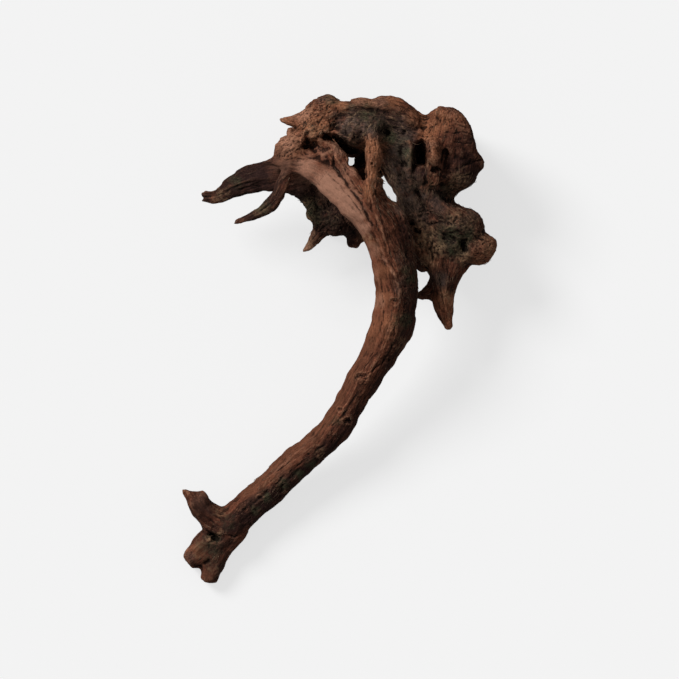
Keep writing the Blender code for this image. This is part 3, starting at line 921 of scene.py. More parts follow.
low = to_view(np.array(cad_box[0]))
high = to_view(np.array(cad_box[1]))
carved = place + facing * relief[:, None]
carved = np.clip(carved, low, high)
put_points(skin, carved)
print("relief from", round(float(relief.min()), 2), "to", round(float(relief.max()), 2), "mm")

# %% [markdown]
# ## Hollow and raised places: dirt and painted shade, wear and painted highlight
#
# Hollows are marked dark, as dirt that gathers there and as painted shade, and raised edges are marked
# pale, as rubbed wear and as a painted highlight. Both are read from the shape itself: where a point lies
# below the average of its neighbourhood it is hollow, and where it stands above it is raised.

# %% Read hollows and edges from the shape
HOLLOW_PASSES = (4, 26, 110)
SUNK_SHARES = (0.35, 0.4, 0.35)
SUNK_RANGE = (0.25, 1.9)
RAISED_SHARES = (0.45, 0.4, 0.1)
RAISED_RANGE = (0.35, 1.6)
DASH_RANGE = (0.25, 0.75)


def hollowness(points, normals, passes):
    mean = points
    for _ in range(passes):
        mean = mean + 0.5 * (neighbour_mean(mean, links) - mean)
    depth = ((mean - points) * normals).sum(1)
    return (depth - np.median(depth)) / depth.std()


facing = normals_of(skin)
hollows = [hollowness(carved, facing, passes) for passes in HOLLOW_PASSES]
# Dark in hollows, grooves, pits and splits: partly dirt and partly painted shade. The short dashes of the
# grain are the wood's own dark marks.
dirt_and_shade = ramp(sum(share * hollow for share, hollow in zip(SUNK_SHARES, hollows)), *SUNK_RANGE)
# Pale on raised places: partly wear and partly a painted highlight.
worn = ramp(-sum(share * hollow for share, hollow in zip(RAISED_SHARES, hollows)), *RAISED_RANGE)
dirt_and_shade = np.clip(dirt_and_shade + 0.2 * np.clip(grooves, 0, 1.2) + 0.25 * pits + 0.1 * splits, 0, 1)
dirt_and_shade = np.clip(dirt_and_shade + 0.5 * ramp(dash, *DASH_RANGE) * (0.25 + gnarl) * (1 - bleached_and_highlight), 0, 1)
print("dirty_and_shaded:", round(float((dirt_and_shade > 0.5).mean()), 2), "worn:", round(float((worn > 0.5).mean()), 2))

# %% [markdown]
# ## Patches of colour
#
# Weathered wood isn't one brown. Here the top of the stem is bleached rose, the block, the strap and the
# round knob are rusty orange, the dome and the column are ash grey with a purple cast, a few damp
# places are dark, and algae has left green stains. Some patches also paint light and shade: rose and rust
# along the crest and the lit left edge of the stem are a painted highlight, and the dark patches on the
# sides away from the light are painted shade. Each patch is a list of soft spots: x, y, radius and
# strength.

# %% Rosy and rusty places, with painted highlights
ROSE_AND_HIGHLIGHT = [
    (-8, 114, 14, 1.0),
    (2, 105, 12, 1.0),
    (10, 95, 9, 1.0),
    (17, 84, 7, 0.75),
    (-26, 129, 10, 0.75),
    (-44, 132, 9, 0.5),
    # Painted highlight: spots along the lit left edge of the stem.
    (24, 68, 7, 0.45),
    (25, 50, 6, 0.3),
    (28, 28, 6, 0.4),
    (-27, 70, 7, 1.0),
    (-21, 78, 5, 0.8),
    (16, 178.5, 5, 0.45),
    (30, 178, 6, 0.45),
    (-13, 141, 5, 0.4),
    (-40, 147, 10, 0.6),
    (-103, -122, 8, 0.4),
    (-113, -163, 5, 0.4),
    (66, 145, 5, 0.2),
    (-2, 143, 6, 0.45),
    (6, 128, 6, 0.4),
    (-30, 170, 8, 0.55),
]
RUST_AND_HIGHLIGHT = [
    (-40, 146, 12, 1.0),
    (-20, 152, 8, 0.5),
    (-26, 166, 10, 0.85),
    (-14, 160, 9, 0.7),
    (-42, 166, 7, 0.8),
    (25, 143, 10, 1.0),
    (24, 128, 9, 1.0),
    (22, 112, 7, 0.7),
    (-10, 174, 6, 0.6),
    (18, 179, 8, 0.85),
    (38, 177, 8, 0.75),
    (0, 176, 7, 0.6),
    (58, 165, 9, 0.8),
    (68, 158, 9, 0.8),
    (76, 164, 10, 0.6),
    (92, 165, 10, 0.35),
    (70, 139, 7, 0.5),
    (60, 72, 9, 0.85),
    (60, 80, 6, 0.6),
    (74, 62, 9, 0.5),
    (108, 86, 8, 0.35),
    (112, 70, 9, 0.65),
    (104, 62, 7, 0.6),
    (80, 30, 9, 0.55),
    (82, 14, 7, 0.4),
    # Painted highlight: orange spots along the lit left side of the stem, from its top down to its foot.
    (30, 30, 10, 0.6),
    (30, 50, 9, 0.55),
    (35, 10, 11, 0.5),
    (28, 70, 9, 0.4),
    *strung(LEFT_LOW, 7.5, 0.4),
    (-106, -157, 6, 0.5),
    (-98, -175, 5, 0.45),
    (-98, 109, 6, 0.3),
]
print("rosy spots:", len(ROSE_AND_HIGHLIGHT), "- rusty spots:", len(RUST_AND_HIGHLIGHT))

# %% [markdown]
# ## Grey, green, damp and shaded places
#
# Ash is wood that has lost its brown to the sun. Algae dry to a dull green where water stood. The damp
# places are nearly black: partly real damp where the wood holds water, and partly painted shade where the
# wood faces away from the light, faces down or lies low under the crown. The straw spots are fibres that
# have peeled loose and dried pale.

# %% Grey, green, damp, painted shade and straw places
ASH = [
    (16, 164, 14, 0.95),
    (32, 160, 14, 1.0),
    (46, 157, 12, 1.0),
    (6, 158, 9, 0.9),
    (-2, 166, 6, 0.6),
    (46, 138, 14, 1.0),
    (48, 120, 14, 1.0),
    (54, 104, 13, 1.0),
    (60, 92, 9, 0.8),
    (40, 128, 8, 0.9),
    (72, 104, 11, 0.8),
    (96, 118, 9, 0.4),
    (-8, 94, 15, 0.3),
    (-26, 112, 12, 0.55),
    (-60, 118, 16, 0.4),
    (-80, 112, 12, 0.3),
    (4, 82, 10, 0.3),
    (82, 78, 12, 0.8),
    (76, 46, 7, 0.9),
    (38, 146, 6, 0.4),
    (100, 92, 8, 0.4),
    (-40, -104, 9, 0.3),
    (-60, -122, 9, 0.4),
    (48, 40, 7, 0.4),
    (49, 60, 7, 0.35),
    (-95, -152, 12, 0.2),
    (-12, 182, 6, 0.45),
    (96, 176, 8, 0.4),
]
ALGAE = [
    (22, 170, 8, 0.8),
    (37, 152, 7, 0.85),
    (48, 146, 6, 0.7),
    (51, 138, 7, 0.9),
    (56, 114, 6, 0.4),
    (92, 76, 10, 1.0),
    (81, 80, 9, 1.0),
    (86, 68, 8, 0.9),
    (-98, -158, 11, 0.4),
    (30, 164, 7, 0.5),
    (-23, 98, 9, 1.0),
    (-18, 90, 5, 0.7),
    (-8, 90, 8, 0.35),
    (51, 52, 5, 0.8),
    (54, 46, 4, 0.8),
    (47, 14, 7, 0.7),
    (-94, -149, 4.5, 1.0),
    (-22, -93, 4, 0.7),
    (-31, -101, 4, 0.9),
    (-42, -109, 5, 0.9),
    (-55, -118, 4, 0.9),
    (-64, -127, 4, 0.7),
    (80, 112, 8, 0.65),
    (66, 116, 6, 0.5),
    (-84, -136, 6, 0.4),
    (-6, 181, 6, 0.7),
    (6, 172, 5, 0.7),
    (-2, -60, 5, 0.4),
    (-58, 100, 6, 0.6),
    (-78, 119, 7, 0.4),
    (10, 150, 5, 0.5),
]
# Painted shade on the low places under the crown, which the light hardly reaches.
LOW_SHADE = [(-8, 91, 20, 1.0), (4, 80, 13, 1.0), (-28, 113, 16, 1.0)]
# Damp places, and painted shade on the sides of the stem and the knobs that face away from the light.
DAMP_AND_SHADE = [
    (-70, 116, 36, 1.0),
    (-62, 96, 24, 0.95),
    (-84, 86, 13, 1.0),
    (-101, 107, 8, 1.0),
    (17, 171, 8, 0.7),
    (24, 134, 10, 0.3),
    (60, 139, 8, 0.8),
    (60, 126, 7, 0.9),
    (79, 137, 6, 0.6),
    (72, 127, 7, 0.6),
    (84, 76, 22, 0.95),
    (104, 84, 14, 0.7),
    (94, 128, 22, 0.85),
    (98, 150, 16, 0.75),
    (100, 168, 10, 0.7),
    (86, 178, 8, 0.7),
    (84, 150, 9, 0.4),
    (76, 108, 14, 0.6),
    # Painted shade along the right and lower edges of the stem, and a little along its lower left edge.
    *strung(RIGHT_EDGE, 9, 0.75),
    *strung(LEFT_LOW[1:], 12, 0.35),
    *strung(LOWER_EDGE, 10, 0.95),
    (-102, -126, 15, 0.75),
    (-94, -152, 16, 0.8),
    (-92, -172, 13, 0.75),
    (-112, -166, 8, 0.65),
    (34, 164, 14, 0.8),
    (50, 160, 9, 0.5),
    (8, 152, 8, 0.55),
    (15, 152, 6, 0.5),
    (104, 72, 12, 0.6),
    (92, 82, 14, 1.0),
    (76, 52, 10, 0.7),
    (-50, -100, 8, 0.3),
    (-66, -124, 10, 0.8),
    (70, 42, 9, 0.6),
    (88, 40, 9, 0.5),
    (62, 34, 8, 0.6),
]
STRAW = [
    (65, 77, 8, 1.0),
    (72, 69, 7, 0.9),
    (60, 85, 6, 0.6),
    (66, 60, 7, 0.5),
    (108, 77, 6, 0.4),
    (113, 67, 6, 0.4),
    (98, 89, 7, 0.35),
    (86, 92, 7, 0.4),
    (92, 62, 6, 0.6),
    (80, 32, 6, 0.4),
    (-23, 102, 5, 0.7),
    (-24, 92, 5, 0.6),
    (-99, -150, 3, 0.9),
    (-90, -144, 3, 0.5),
    (-105, -157, 8, 0.2),
    (-94, -173, 7, 0.2),
    (-22, 80, 3, 0.4),
    (-26, 72, 5, 0.9),
    (-21, 157, 6, 0.4),
    (-48, 168, 5, 0.4),
    (-88, 108, 6, 0.35),
    (-60, 97, 5, 0.35),
    (68, 133, 4, 0.4),
    (90, 121, 8, 0.45),
    (20, 76, 5, 0.4),
    (45, -2, 6, 0.25),
    (-16, -84, 6, 0.3),
    (-90, -128, 6, 0.3),
]
# Low places seen through the gaps, which no light reaches: a spot each, and the height they lie under.
DEEP = [(16, 134, 8, 1.0), (18, 124, 6, 1.0), (12, 142, 5, 1.0), (6, 146, 4, 0.7)]
DEEP_TOP = (66, 76)
print("grey, green, damp and straw spots:", len(ASH), len(ALGAE), len(LOW_SHADE) + len(DAMP_AND_SHADE), len(STRAW))

# %% [markdown]
# ## From spots to masks
#
# A soft spot alone would look like spray paint. Each mask is therefore its spots times a mottled noise,
# so that it frays at its edge, and clipped to the range from 0 to 1. The damp mask also takes painted
# shade on faces turned down and in low places under the crown. Damp and painted shade take the wear and
# the painted highlight away.

# %% Masks of the patches
mottle = layered_noise(place, 7.0, 3, offset=23.0)
speckle = layered_noise(place, 2.4, 2, offset=51.0)
# Painted highlight along the crests; it joins the rose mask.
crest_highlight = np.clip(cut_depth(place, facing, CREST_HIGHLIGHTS), 0, 1) * (0.55 + 0.6 * np.clip(fine_fibre, -1, 1))
rose_and_highlight = np.clip(np.maximum(spots(place, ROSE_AND_HIGHLIGHT) * (1.0 + 0.25 * mottle), crest_highlight), 0, 1)
rust_and_highlight = np.clip(spots(place, RUST_AND_HIGHLIGHT) * (0.95 + 0.5 * mottle) + 0.25 * speckle * gnarl, 0, 1)
ash = np.clip(spots(place, ASH) * (0.95 + 0.5 * mottle), 0, 1)
straw = spots(place, STRAW) * (0.7 + 0.9 * speckle + 0.5 * np.clip(fine_fibre, -1, 1))
straw = np.clip(np.maximum(straw, 1.5 * cut_depth(place, facing, PALE_FIBRES)), 0, 1)
algae = np.clip(spots(place, ALGAE) * (0.75 + 0.7 * mottle + 0.3 * speckle), 0, 1)
# Painted shade: faces turned down are darkened, and so are the low places under the crown, along with the
# damp places.
under = 0.6 * ramp(-facing[:, 2], -0.05, 0.6)
damp_and_shade = np.maximum(spots(place, DAMP_AND_SHADE), 1.1 * spots(place, LOW_SHADE) * low_share)
damp_and_shade = np.clip(np.maximum(damp_and_shade * (0.95 + 0.35 * mottle), under), 0, 1)
# The bleached mask lightens the streaks too, which paints a highlight on the lit left of the stem.
streak = np.clip(0.5 + 0.55 * tone + 0.18 * mottle + 0.22 * bleached_and_highlight, 0, 1)
# Wear and painted highlight fade under the damp mask, which holds damp and painted shade, and on ash.
worn = worn * (1 - 0.85 * damp_and_shade) * (1 - 0.5 * ash)
# Painted shade in the low places seen through the gaps.
dirt_and_shade = np.maximum(dirt_and_shade, spots(place, DEEP) * (1 - ramp(place[:, 2], *DEEP_TOP)))
MASKS = {
    "rose_and_highlight": rose_and_highlight,
    "rust_and_highlight": rust_and_highlight,
    "ash": ash,
    "straw": straw,
    "algae": algae,
    "damp_and_shade": damp_and_shade,
    "dirt_and_shade": dirt_and_shade,
    "worn": worn,
    "streak": streak,
    "smooth": bleached_and_highlight,
}
print("mean of each mask:", {name: round(float(mask.mean()), 2) for name, mask in MASKS.items()})

# %% [markdown]
# ## The wood's finish
#
# The colour starts as two browns that alternate along the fibres. Each mask then mixes its own colour
# over it, broken up by fine noise so that no patch has a clean edge. Some masks also paint light: rose,
# rust and the worn mix add a painted highlight, and the damp mix adds painted shade. Dirt and painted
# shade darken the hollows last. The roughness follows the damp and shade mask, and fine fibres along
# the grain and a crust of small grains make the bump.

# %% Build the material
# The damp and dirt tones also paint shade; the worn, rose and rust tones also paint highlights.
TONES = {
    "heart": (0.024, 0.0095, 0.0058),
    "flesh": (0.136, 0.046, 0.0255),
    "rose_and_highlight": (0.300, 0.152, 0.101),
    "rust_and_highlight": (0.235, 0.093, 0.046),
    "ash": (0.072, 0.053, 0.044),
    "straw": (0.30, 0.185, 0.105),
    "algae": (0.040, 0.040, 0.022),
    "damp_and_shade": (0.019, 0.0088, 0.0076),
    "dirt_and_shade": (0.006, 0.0036, 0.003),
    "worn": (0.27, 0.135, 0.080),
    "sliver_pale": (0.25, 0.162, 0.105),
    "sliver_dark": (0.040, 0.024, 0.018),
}


class Nodes:
    """A short way to add and link shader nodes."""

    def __init__(self, tree):
        self.tree = tree

    def add(self, kind, inputs=None, **settings):
        node = self.tree.nodes.new(kind)
        for name, value in settings.items():
            setattr(node, name, value)
        for name, value in (inputs or {}).items():
            self.feed(node, name, value)
        return node

    def feed(self, node, name, value):
        if isinstance(value, bpy.types.NodeSocket):
            self.tree.links.new(value, node.inputs[name])
        else:
            node.inputs[name].default_value = value

    def attribute(self, name):
        return self.add("ShaderNodeAttribute", attribute_name=name).outputs

    def sums(self, operation, first, second):
        return self.add("ShaderNodeMath", {0: first, 1: second}, operation=operation).outputs[0]

    def spread(self, value, start, end):
        """A value's range start to end, as 0 to 1."""
        inputs = {"Value": value, "From Min": start, "From Max": end}
        return self.add("ShaderNodeMapRange", inputs, clamp=True).outputs["Result"]

    def mixed(self, share, under, over):
        node = self.add("ShaderNodeMix", data_type="RGBA")
        self.feed(node, 0, share)
        for socket, colour in ((6, under), (7, over)):
            self.feed(node, socket, colour if isinstance(colour, bpy.types.NodeSocket) else (*colour, 1))
        return node.outputs[2]

    def shaded(self, colour, value, darkest, lightest):
        """The colour made darker and lighter by noise, which lies mostly between 0.35 and 0.65."""
        inputs = {"Value": value, "From Min": 0.35, "From Max": 0.65, "To Min": darkest, "To Max": lightest}
        shade = self.add("ShaderNodeMapRange", inputs, clamp=True).outputs["Result"]
        product = {0: 1.0, 6: colour, 7: shade}
        return self.add("ShaderNodeMix", product, data_type="RGBA", blend_type="MULTIPLY").outputs[2]


def speck_noise(nodes, place_socket, scale, detail=3.0):
    inputs = {"Vector": place_socket, "Scale": scale, "Detail": detail, "Roughness": 0.6}
    return nodes.add("ShaderNodeTexNoise", inputs).outputs["Fac"]


def fibre_noise(nodes, scale, along=0.09):
    """Noise stretched along the fibres, from the grain places that each point carries."""
    inputs = {"Vector": nodes.attribute("grain")["Vector"], "Scale": (along, 1, 1)}
    stretch = nodes.add("ShaderNodeMapping", inputs)
    return speck_noise(nodes, stretch.outputs["Vector"], scale)


# The scales of the noises, from the coarsest to the finest, and how far each mask is mixed in.
FINE_SCALE = 420.0
SPECK_SCALE = 900.0
GRAIN_SCALE = 1500.0
FIBRE_SCALE = 1700.0
WEAR_AND_HIGHLIGHT_STRENGTH = 0.45
SMOOTH_STRENGTH = 0.8
DIRT_AND_SHADE_STRENGTH = 0.9
FIBRE_SHADES = (0.58, 1.4)
SPECK_SHADES = (0.7, 1.3)
MATT = 0.03
# The damp patch also paints shade, and the rose and rust patches also paint highlights.
PATCHES = (("ash", 0.9), ("rust_and_highlight", 0.85), ("rose_and_highlight", 0.9), ("damp_and_shade", 0.96), ("straw", 0.75), ("algae", 0.88))


def wood_colour(nodes, fine, fibres, specks):
    share = nodes.sums("ADD", nodes.attribute("streak")["Fac"], nodes.sums("MULTIPLY", fibres, 0.5))
    colour = nodes.mixed(nodes.spread(share, 0.35, 1.1), TONES["heart"], TONES["flesh"])
    for name, strength in PATCHES:
        broken = nodes.sums("ADD", nodes.attribute(name)["Fac"], nodes.sums("MULTIPLY", fine, 0.5))
        broken = nodes.spread(broken, 0.3, 1.15)
        colour = nodes.mixed(nodes.sums("MULTIPLY", broken, strength), colour, TONES[name])
    # Raised places are mixed paler: wear and a painted highlight.
    worn_share = nodes.sums("MULTIPLY", nodes.attribute("worn")["Fac"], WEAR_AND_HIGHLIGHT_STRENGTH)
    colour = nodes.mixed(worn_share, colour, TONES["worn"])
    smooth = nodes.sums("MULTIPLY", nodes.attribute("smooth")["Fac"], SMOOTH_STRENGTH)
    rough = nodes.shaded(nodes.shaded(colour, fibres, *FIBRE_SHADES), specks, *SPECK_SHADES)
    colour = nodes.mixed(smooth, rough, colour)
    # Dirt and painted shade darken the hollows last.
    dirt_and_shade_share = nodes.sums("MULTIPLY", nodes.attribute("dirt_and_shade")["Fac"], DIRT_AND_SHADE_STRENGTH)
    return nodes.mixed(dirt_and_shade_share, colour, TONES["dirt_and_shade"])


def wood_finish(name):
    material = bpy.data.materials.new(name)
    material.use_nodes = True
    nodes = Nodes(material.node_tree)
    shader = material.node_tree.nodes["Principled BSDF"]
    place_socket = nodes.add("ShaderNodeTexCoord").outputs["Object"]
    fine = speck_noise(nodes, place_socket, FINE_SCALE)
    fibres = fibre_noise(nodes, FIBRE_SCALE)
    specks = speck_noise(nodes, place_socket, SPECK_SCALE, 2.0)
    nodes.feed(shader, "Base Color", wood_colour(nodes, fine, fibres, specks))
    dry = nodes.sums("MULTIPLY", nodes.attribute("damp_and_shade")["Fac"], -0.16)
    rough = nodes.sums("ADD", nodes.sums("ADD", dry, 0.78), nodes.sums("MULTIPLY", fine, 0.2))
    nodes.feed(shader, "Roughness", rough)
    shader.inputs["Specular IOR Level"].default_value = MATT
    grains = speck_noise(nodes, place_socket, GRAIN_SCALE)
    height = nodes.sums("ADD", nodes.sums("MULTIPLY", fibres, 0.7), nodes.sums("MULTIPLY", grains, 0.45))
    bump = nodes.add("ShaderNodeBump", {"Height": height, "Strength": 0.75, "Distance": 0.0004})
    nodes.feed(shader, "Normal", bump.outputs["Normal"])
    return material


driftwood = wood_finish("driftwood")
print("finish:", driftwood.name, "with", len(driftwood.node_tree.nodes), "nodes")

# %% [markdown]
# ## The slivers' finish
#
# Loose slivers are drier and paler than the wood that they came from. Their finish is a smaller one of
# the same kind: two tones in patches, darker under the damp mask, which is partly damp and partly painted
# shade, and shaded by fine grains.

# %% Build the slivers' material

def sliver_finish(name):
    material = bpy.data.materials.new(name)
    material.use_nodes = True
    nodes = Nodes(material.node_tree)
    shader = material.node_tree.nodes["Principled BSDF"]
    place_socket = nodes.add("ShaderNodeTexCoord").outputs["Object"]
    patches = speck_noise(nodes, place_socket, 260.0)
    grains = speck_noise(nodes, place_socket, 1300.0)
    tone_share = nodes.spread(patches, 0.38, 0.62)
    colour = nodes.mixed(tone_share, TONES["sliver_dark"], TONES["sliver_pale"])
    # The damp mask darkens the slivers too: damp and painted shade.
    colour = nodes.mixed(nodes.sums("MULTIPLY", nodes.attribute("damp_and_shade")["Fac"], 0.6), colour, TONES["damp_and_shade"])
    nodes.feed(shader, "Base Color", nodes.shaded(colour, grains, 0.7, 1.3))
    nodes.feed(shader, "Roughness", nodes.spread(grains, 0.0, 1.1))
    shader.inputs["Specular IOR Level"].default_value = MATT
    bump = nodes.add("ShaderNodeBump", {"Height": grains, "Strength": 0.5, "Distance": 0.0002})
    nodes.feed(shader, "Normal", bump.outputs["Normal"])
    return material


slivers_finish = sliver_finish("dry_slivers")
print("finish:", slivers_finish.name, "with", len(slivers_finish.node_tree.nodes), "nodes")

# %% [markdown]
# ## Back to branches
#
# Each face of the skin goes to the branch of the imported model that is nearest. The crown is too heavy for
# one piece, so it is parted once more. Every piece is then closed with caps on its cuts, and it keeps the
# normals of the whole skin, so that the light runs over the seams without a line.

# %% Share the faces out
CROWN_PARTS = [("crown_left", -1e3, 12.0), ("crown_middle", 12.0, 58.0), ("crown_right", 58.0, 1e3)]
VOTES = 3

corners = np.empty(len(skin.polygons) * 4, np.int32)
skin.polygons.foreach_get("vertices", corners)
corners = corners.reshape(-1, 4)
centres = carved[corners].mean(1)

surface, owner = bmesh.new(), []
for number, name in enumerate(BRANCHES):
    surface.from_mesh(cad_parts[name].data)
    owner += [number] * (len(surface.faces) - len(owner))
tree = BVHTree.FromBMesh(surface)
surface.free()
label = np.array([owner[tree.find_nearest(Vector(centre))[2]] for centre in to_model(centres)])
for _ in range(VOTES):
    votes = np.zeros((len(carved), len(BRANCHES)))
    for corner in range(4):
        np.add.at(votes, (corners[:, corner], label), 1)
    label = votes[corners].sum(1).argmax(1)
PIECES = {}
for number, name in enumerate(BRANCHES):
    if name != "crown":
        PIECES[name] = (name, label == number)
for part, start, end in CROWN_PARTS:
    held = (label == BRANCHES.index("crown")) & (centres[:, 0] >= start) & (centres[:, 0] < end)
    PIECES[part] = ("crown", held)

# %% [markdown]
# ## Closed pieces with one light
#
# A piece is cut out of the skin with its masks and its grain. Its cuts are capped, because a piece has to
# be closed. The cut edges would catch the light differently on both sides, so the piece keeps the normals
# that the whole skin had there.

# %% Build the pieces
facing = normals_of(skin)


def put_masks(mesh, used):
    for name, mask in MASKS.items():
        layer = mesh.attributes.new(name, "FLOAT", "POINT")
        layer.data.foreach_set("value", mask[used].astype(np.float32))
    for name, vectors in (("grain", grain * MM), ("skin_normal", facing)):
        layer = mesh.attributes.new(name, "FLOAT_VECTOR", "POINT")
        layer.data.foreach_set("vector", vectors[used].astype(np.float32).ravel())


def capped(mesh):
    """Closes a piece's cuts with flat caps, and counts the edges that stay open.

    Rims that touch at a point are parted there first.
    """
    shell = bmesh.new()
    shell.from_mesh(mesh)
    for vertex in list(shell.verts):
        rim = [edge for edge in vertex.link_edges if edge.is_boundary]
        if len(rim) > 2:
            bmesh.utils.vert_separate(vertex, rim)
    rims = [edge for edge in shell.edges if edge.is_boundary]
    made = bmesh.ops.holes_fill(shell, edges=rims, sides=0)["faces"]
    bmesh.ops.triangulate(shell, faces=made)
    still_open = sum(edge.is_boundary for edge in shell.edges)
    shell.to_mesh(mesh)
    shell.free()
    return still_open


def keep_skin_normals(mesh):
    layer = mesh.attributes["skin_normal"]
    flat = np.empty(len(mesh.vertices) * 3, np.float32)
    layer.data.foreach_get("vector", flat)
    mesh.attributes.remove(layer)
    mesh.shade_smooth()
    mesh.normals_split_custom_set_from_vertices(flat.reshape(-1, 3).tolist())


def build_piece(name, node, held):
    faces = corners[held]
    used, renumbered = np.unique(faces, return_inverse=True)
    mesh = bpy.data.meshes.new(name)
    mesh.from_pydata(to_model(carved[used]).tolist(), [], renumbered.reshape(-1, 4).tolist())
    put_masks(mesh, used)
    still_open = capped(mesh)
    keep_skin_normals(mesh)
    mesh.materials.append(driftwood)
    piece = bpy.data.objects.new(name, mesh)
    bpy.context.scene.collection.objects.link(piece)
    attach(piece, "root")
    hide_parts(node)
    mesh.calc_loop_triangles()
    print(f"{name}: {len(mesh.loop_triangles)} triangles, {still_open} open edges")


for piece_name, (node_name, held_faces) in PIECES.items():
    build_piece("wood_" + piece_name, node_name, held_faces)
print("pieces of wood:", len(PIECES))

# %% [markdown]
# ## Slivers and frayed fibres
#
# Where the wood has rotted, thin fibres have come loose and lie on it like hair. They repeat hundreds of
# times and follow the surface, so Geometry Nodes make them: points are scattered on the skin, thickly in
# the frayed places, and each gets a bent sliver of a few faces that is turned to the grain there.

# %% Where the wood is frayed
FRAYED = [
    (46, 120, 15, 1.0),
    (54, 104, 14, 1.0),
    (60, 92, 10, 0.8),
    (40, 130, 9, 0.8),
    (14, 162, 13, 0.7),
    (2, 158, 9, 0.7),
    (36, 160, 12, 0.45),
    (84, 84, 15, 0.9),
    (70, 78, 11, 0.9),
    (62, 70, 9, 0.7),
    (94, 112, 10, 0.4),
    (-14, 162, 12, 0.35),
    (-12, 98, 14, 0.45),
    (-22, 106, 8, 0.4),
    (50, 60, 10, 0.35),
    (52, 36, 10, 0.35),
    (34, 100, 10, 0.5),
    (18, 110, 7, 0.5),
    (26, 92, 7, 0.3),
    (-54, -112, 12, 0.3),
    (-92, -140, 10, 0.3),
    (80, 44, 12, 0.4),
]
FRAYED_ANYWHERE = 0.02
frayed = np.clip(spots(place, FRAYED) * (0.8 + 0.8 * mottle), 0, 1) + FRAYED_ANYWHERE
frayed *= (1 - bleached_and_highlight) * ramp(normals_of(skin)[:, 2], -0.3, 0.2)
# The damp mask, which also holds painted shade, goes onto the skin for the slivers.
SLIVER_MASKS = {"frayed": frayed, "damp_and_shade": damp_and_shade}
for mask_name, mask in SLIVER_MASKS.items():
    layer = skin.attributes.new(mask_name, "FLOAT", "POINT")
    layer.data.foreach_set("value", mask.astype(np.float32))
layer = skin.attributes.new("fibre_way", "FLOAT_VECTOR", "POINT")
layer.data.foreach_set("vector", fibre_way.astype(np.float32).ravel())
print("frayed:", round(float((frayed > 0.3).mean()), 3))

# %% [markdown]
# ## The shape of a sliver
#
# A sliver is a thin tube on a bent line, thicker at one end. It has only three sides and a few steps,
# because thousands of them are made. Its sizes are named inputs of the tree, so they can be changed in
# the modifier without opening the tree.

# %% One bent sliver
SLIVER_SIZES = {
    "Per square metre": 420000.0,
    "Length": 6.0 * MM,
    "Thickness": 0.19 * MM,
    "Arch": 0.16,
    "Turn": 0.3,
    "Seed": 7,
}
SLIVER_STEPS = 4
SLIVER_SIDES = 3


def group_with_inputs(name, sizes):
    """A node group with a named input for every size, and its input sockets."""
    tree = bpy.data.node_groups.new(name, "GeometryNodeTree")
    tree.interface.new_socket("Geometry", in_out="INPUT", socket_type="NodeSocketGeometry")
    tree.interface.new_socket("Geometry", in_out="OUTPUT", socket_type="NodeSocketGeometry")
    for title, size in sizes.items():
        kind = "NodeSocketInt" if isinstance(size, int) else "NodeSocketFloat"
        tree.interface.new_socket(title, in_out="INPUT", socket_type=kind).default_value = size
    nodes = Nodes(tree)
    return tree, nodes, nodes.add("NodeGroupInput").outputs


def bent_sliver(nodes, sizes):
    """A sliver along x that is bent sideways and thins out towards one end."""
    half = nodes.sums("MULTIPLY", sizes["Length"], 0.5)
    start = nodes.add("ShaderNodeCombineXYZ", {"X": nodes.sums("MULTIPLY", half, -1.0)}).outputs[0]
    arch = nodes.sums("MULTIPLY", sizes["Length"], sizes["Arch"])
    middle = nodes.add("ShaderNodeCombineXYZ", {"Y": arch, "Z": sizes["Thickness"]}).outputs[0]
    end = nodes.add("ShaderNodeCombineXYZ", {"X": half}).outputs[0]
    bow = {"Resolution": SLIVER_STEPS, "Start": start, "Middle": middle, "End": end}
    bent = nodes.add("GeometryNodeCurveQuadraticBezier", bow).outputs["Curve"]
    along = nodes.add("GeometryNodeSplineParameter").outputs["Factor"]
    thinning = nodes.sums("SUBTRACT", 1.1, along)
    ring = {"Resolution": SLIVER_SIDES, "Radius": sizes["Thickness"]}
    profile = nodes.add("GeometryNodeCurvePrimitiveCircle", ring).outputs["Curve"]
    tube = {"Curve": bent, "Profile Curve": profile, "Scale": thinning, "Fill Caps": True}
    return nodes.add("GeometryNodeCurveToMesh", tube).outputs["Mesh"]


# %% [markdown]
# ## Scattering them
#
# The points are strewn more thickly where the skin is frayed. Each point's own rotation stands it up on
# the skin. Aligning its x axis to the stored direction of the fibres lays the sliver along the grain, and
# a small random turn keeps the slivers from looking combed.

# %% Scatter the slivers
SLIVER_SCALES = (0.45, 1.25)
SCALE_SEED = 3


def random_between(nodes, low, high, seed):
    dice_node = nodes.add("FunctionNodeRandomValue", {2: low, 3: high, 8: seed}, data_type="FLOAT")
    return dice_node.outputs[1]


def stored(nodes, name, kind):
    """An attribute of the mesh, as a socket."""
    return nodes.add("GeometryNodeInputNamedAttribute", {"Name": name}, data_type=kind).outputs["Attribute"]


def finished_shape(nodes, shape, finish):
    """The end of a tree: instances made real, and one finish on all of it."""
    plain = nodes.add("GeometryNodeRealizeInstances", {"Geometry": shape}).outputs["Geometry"]
    coat = {"Geometry": plain, "Material": finish}
    dressed = nodes.add("GeometryNodeSetMaterial", coat).outputs["Geometry"]
    nodes.add("NodeGroupOutput", {"Geometry": dressed})


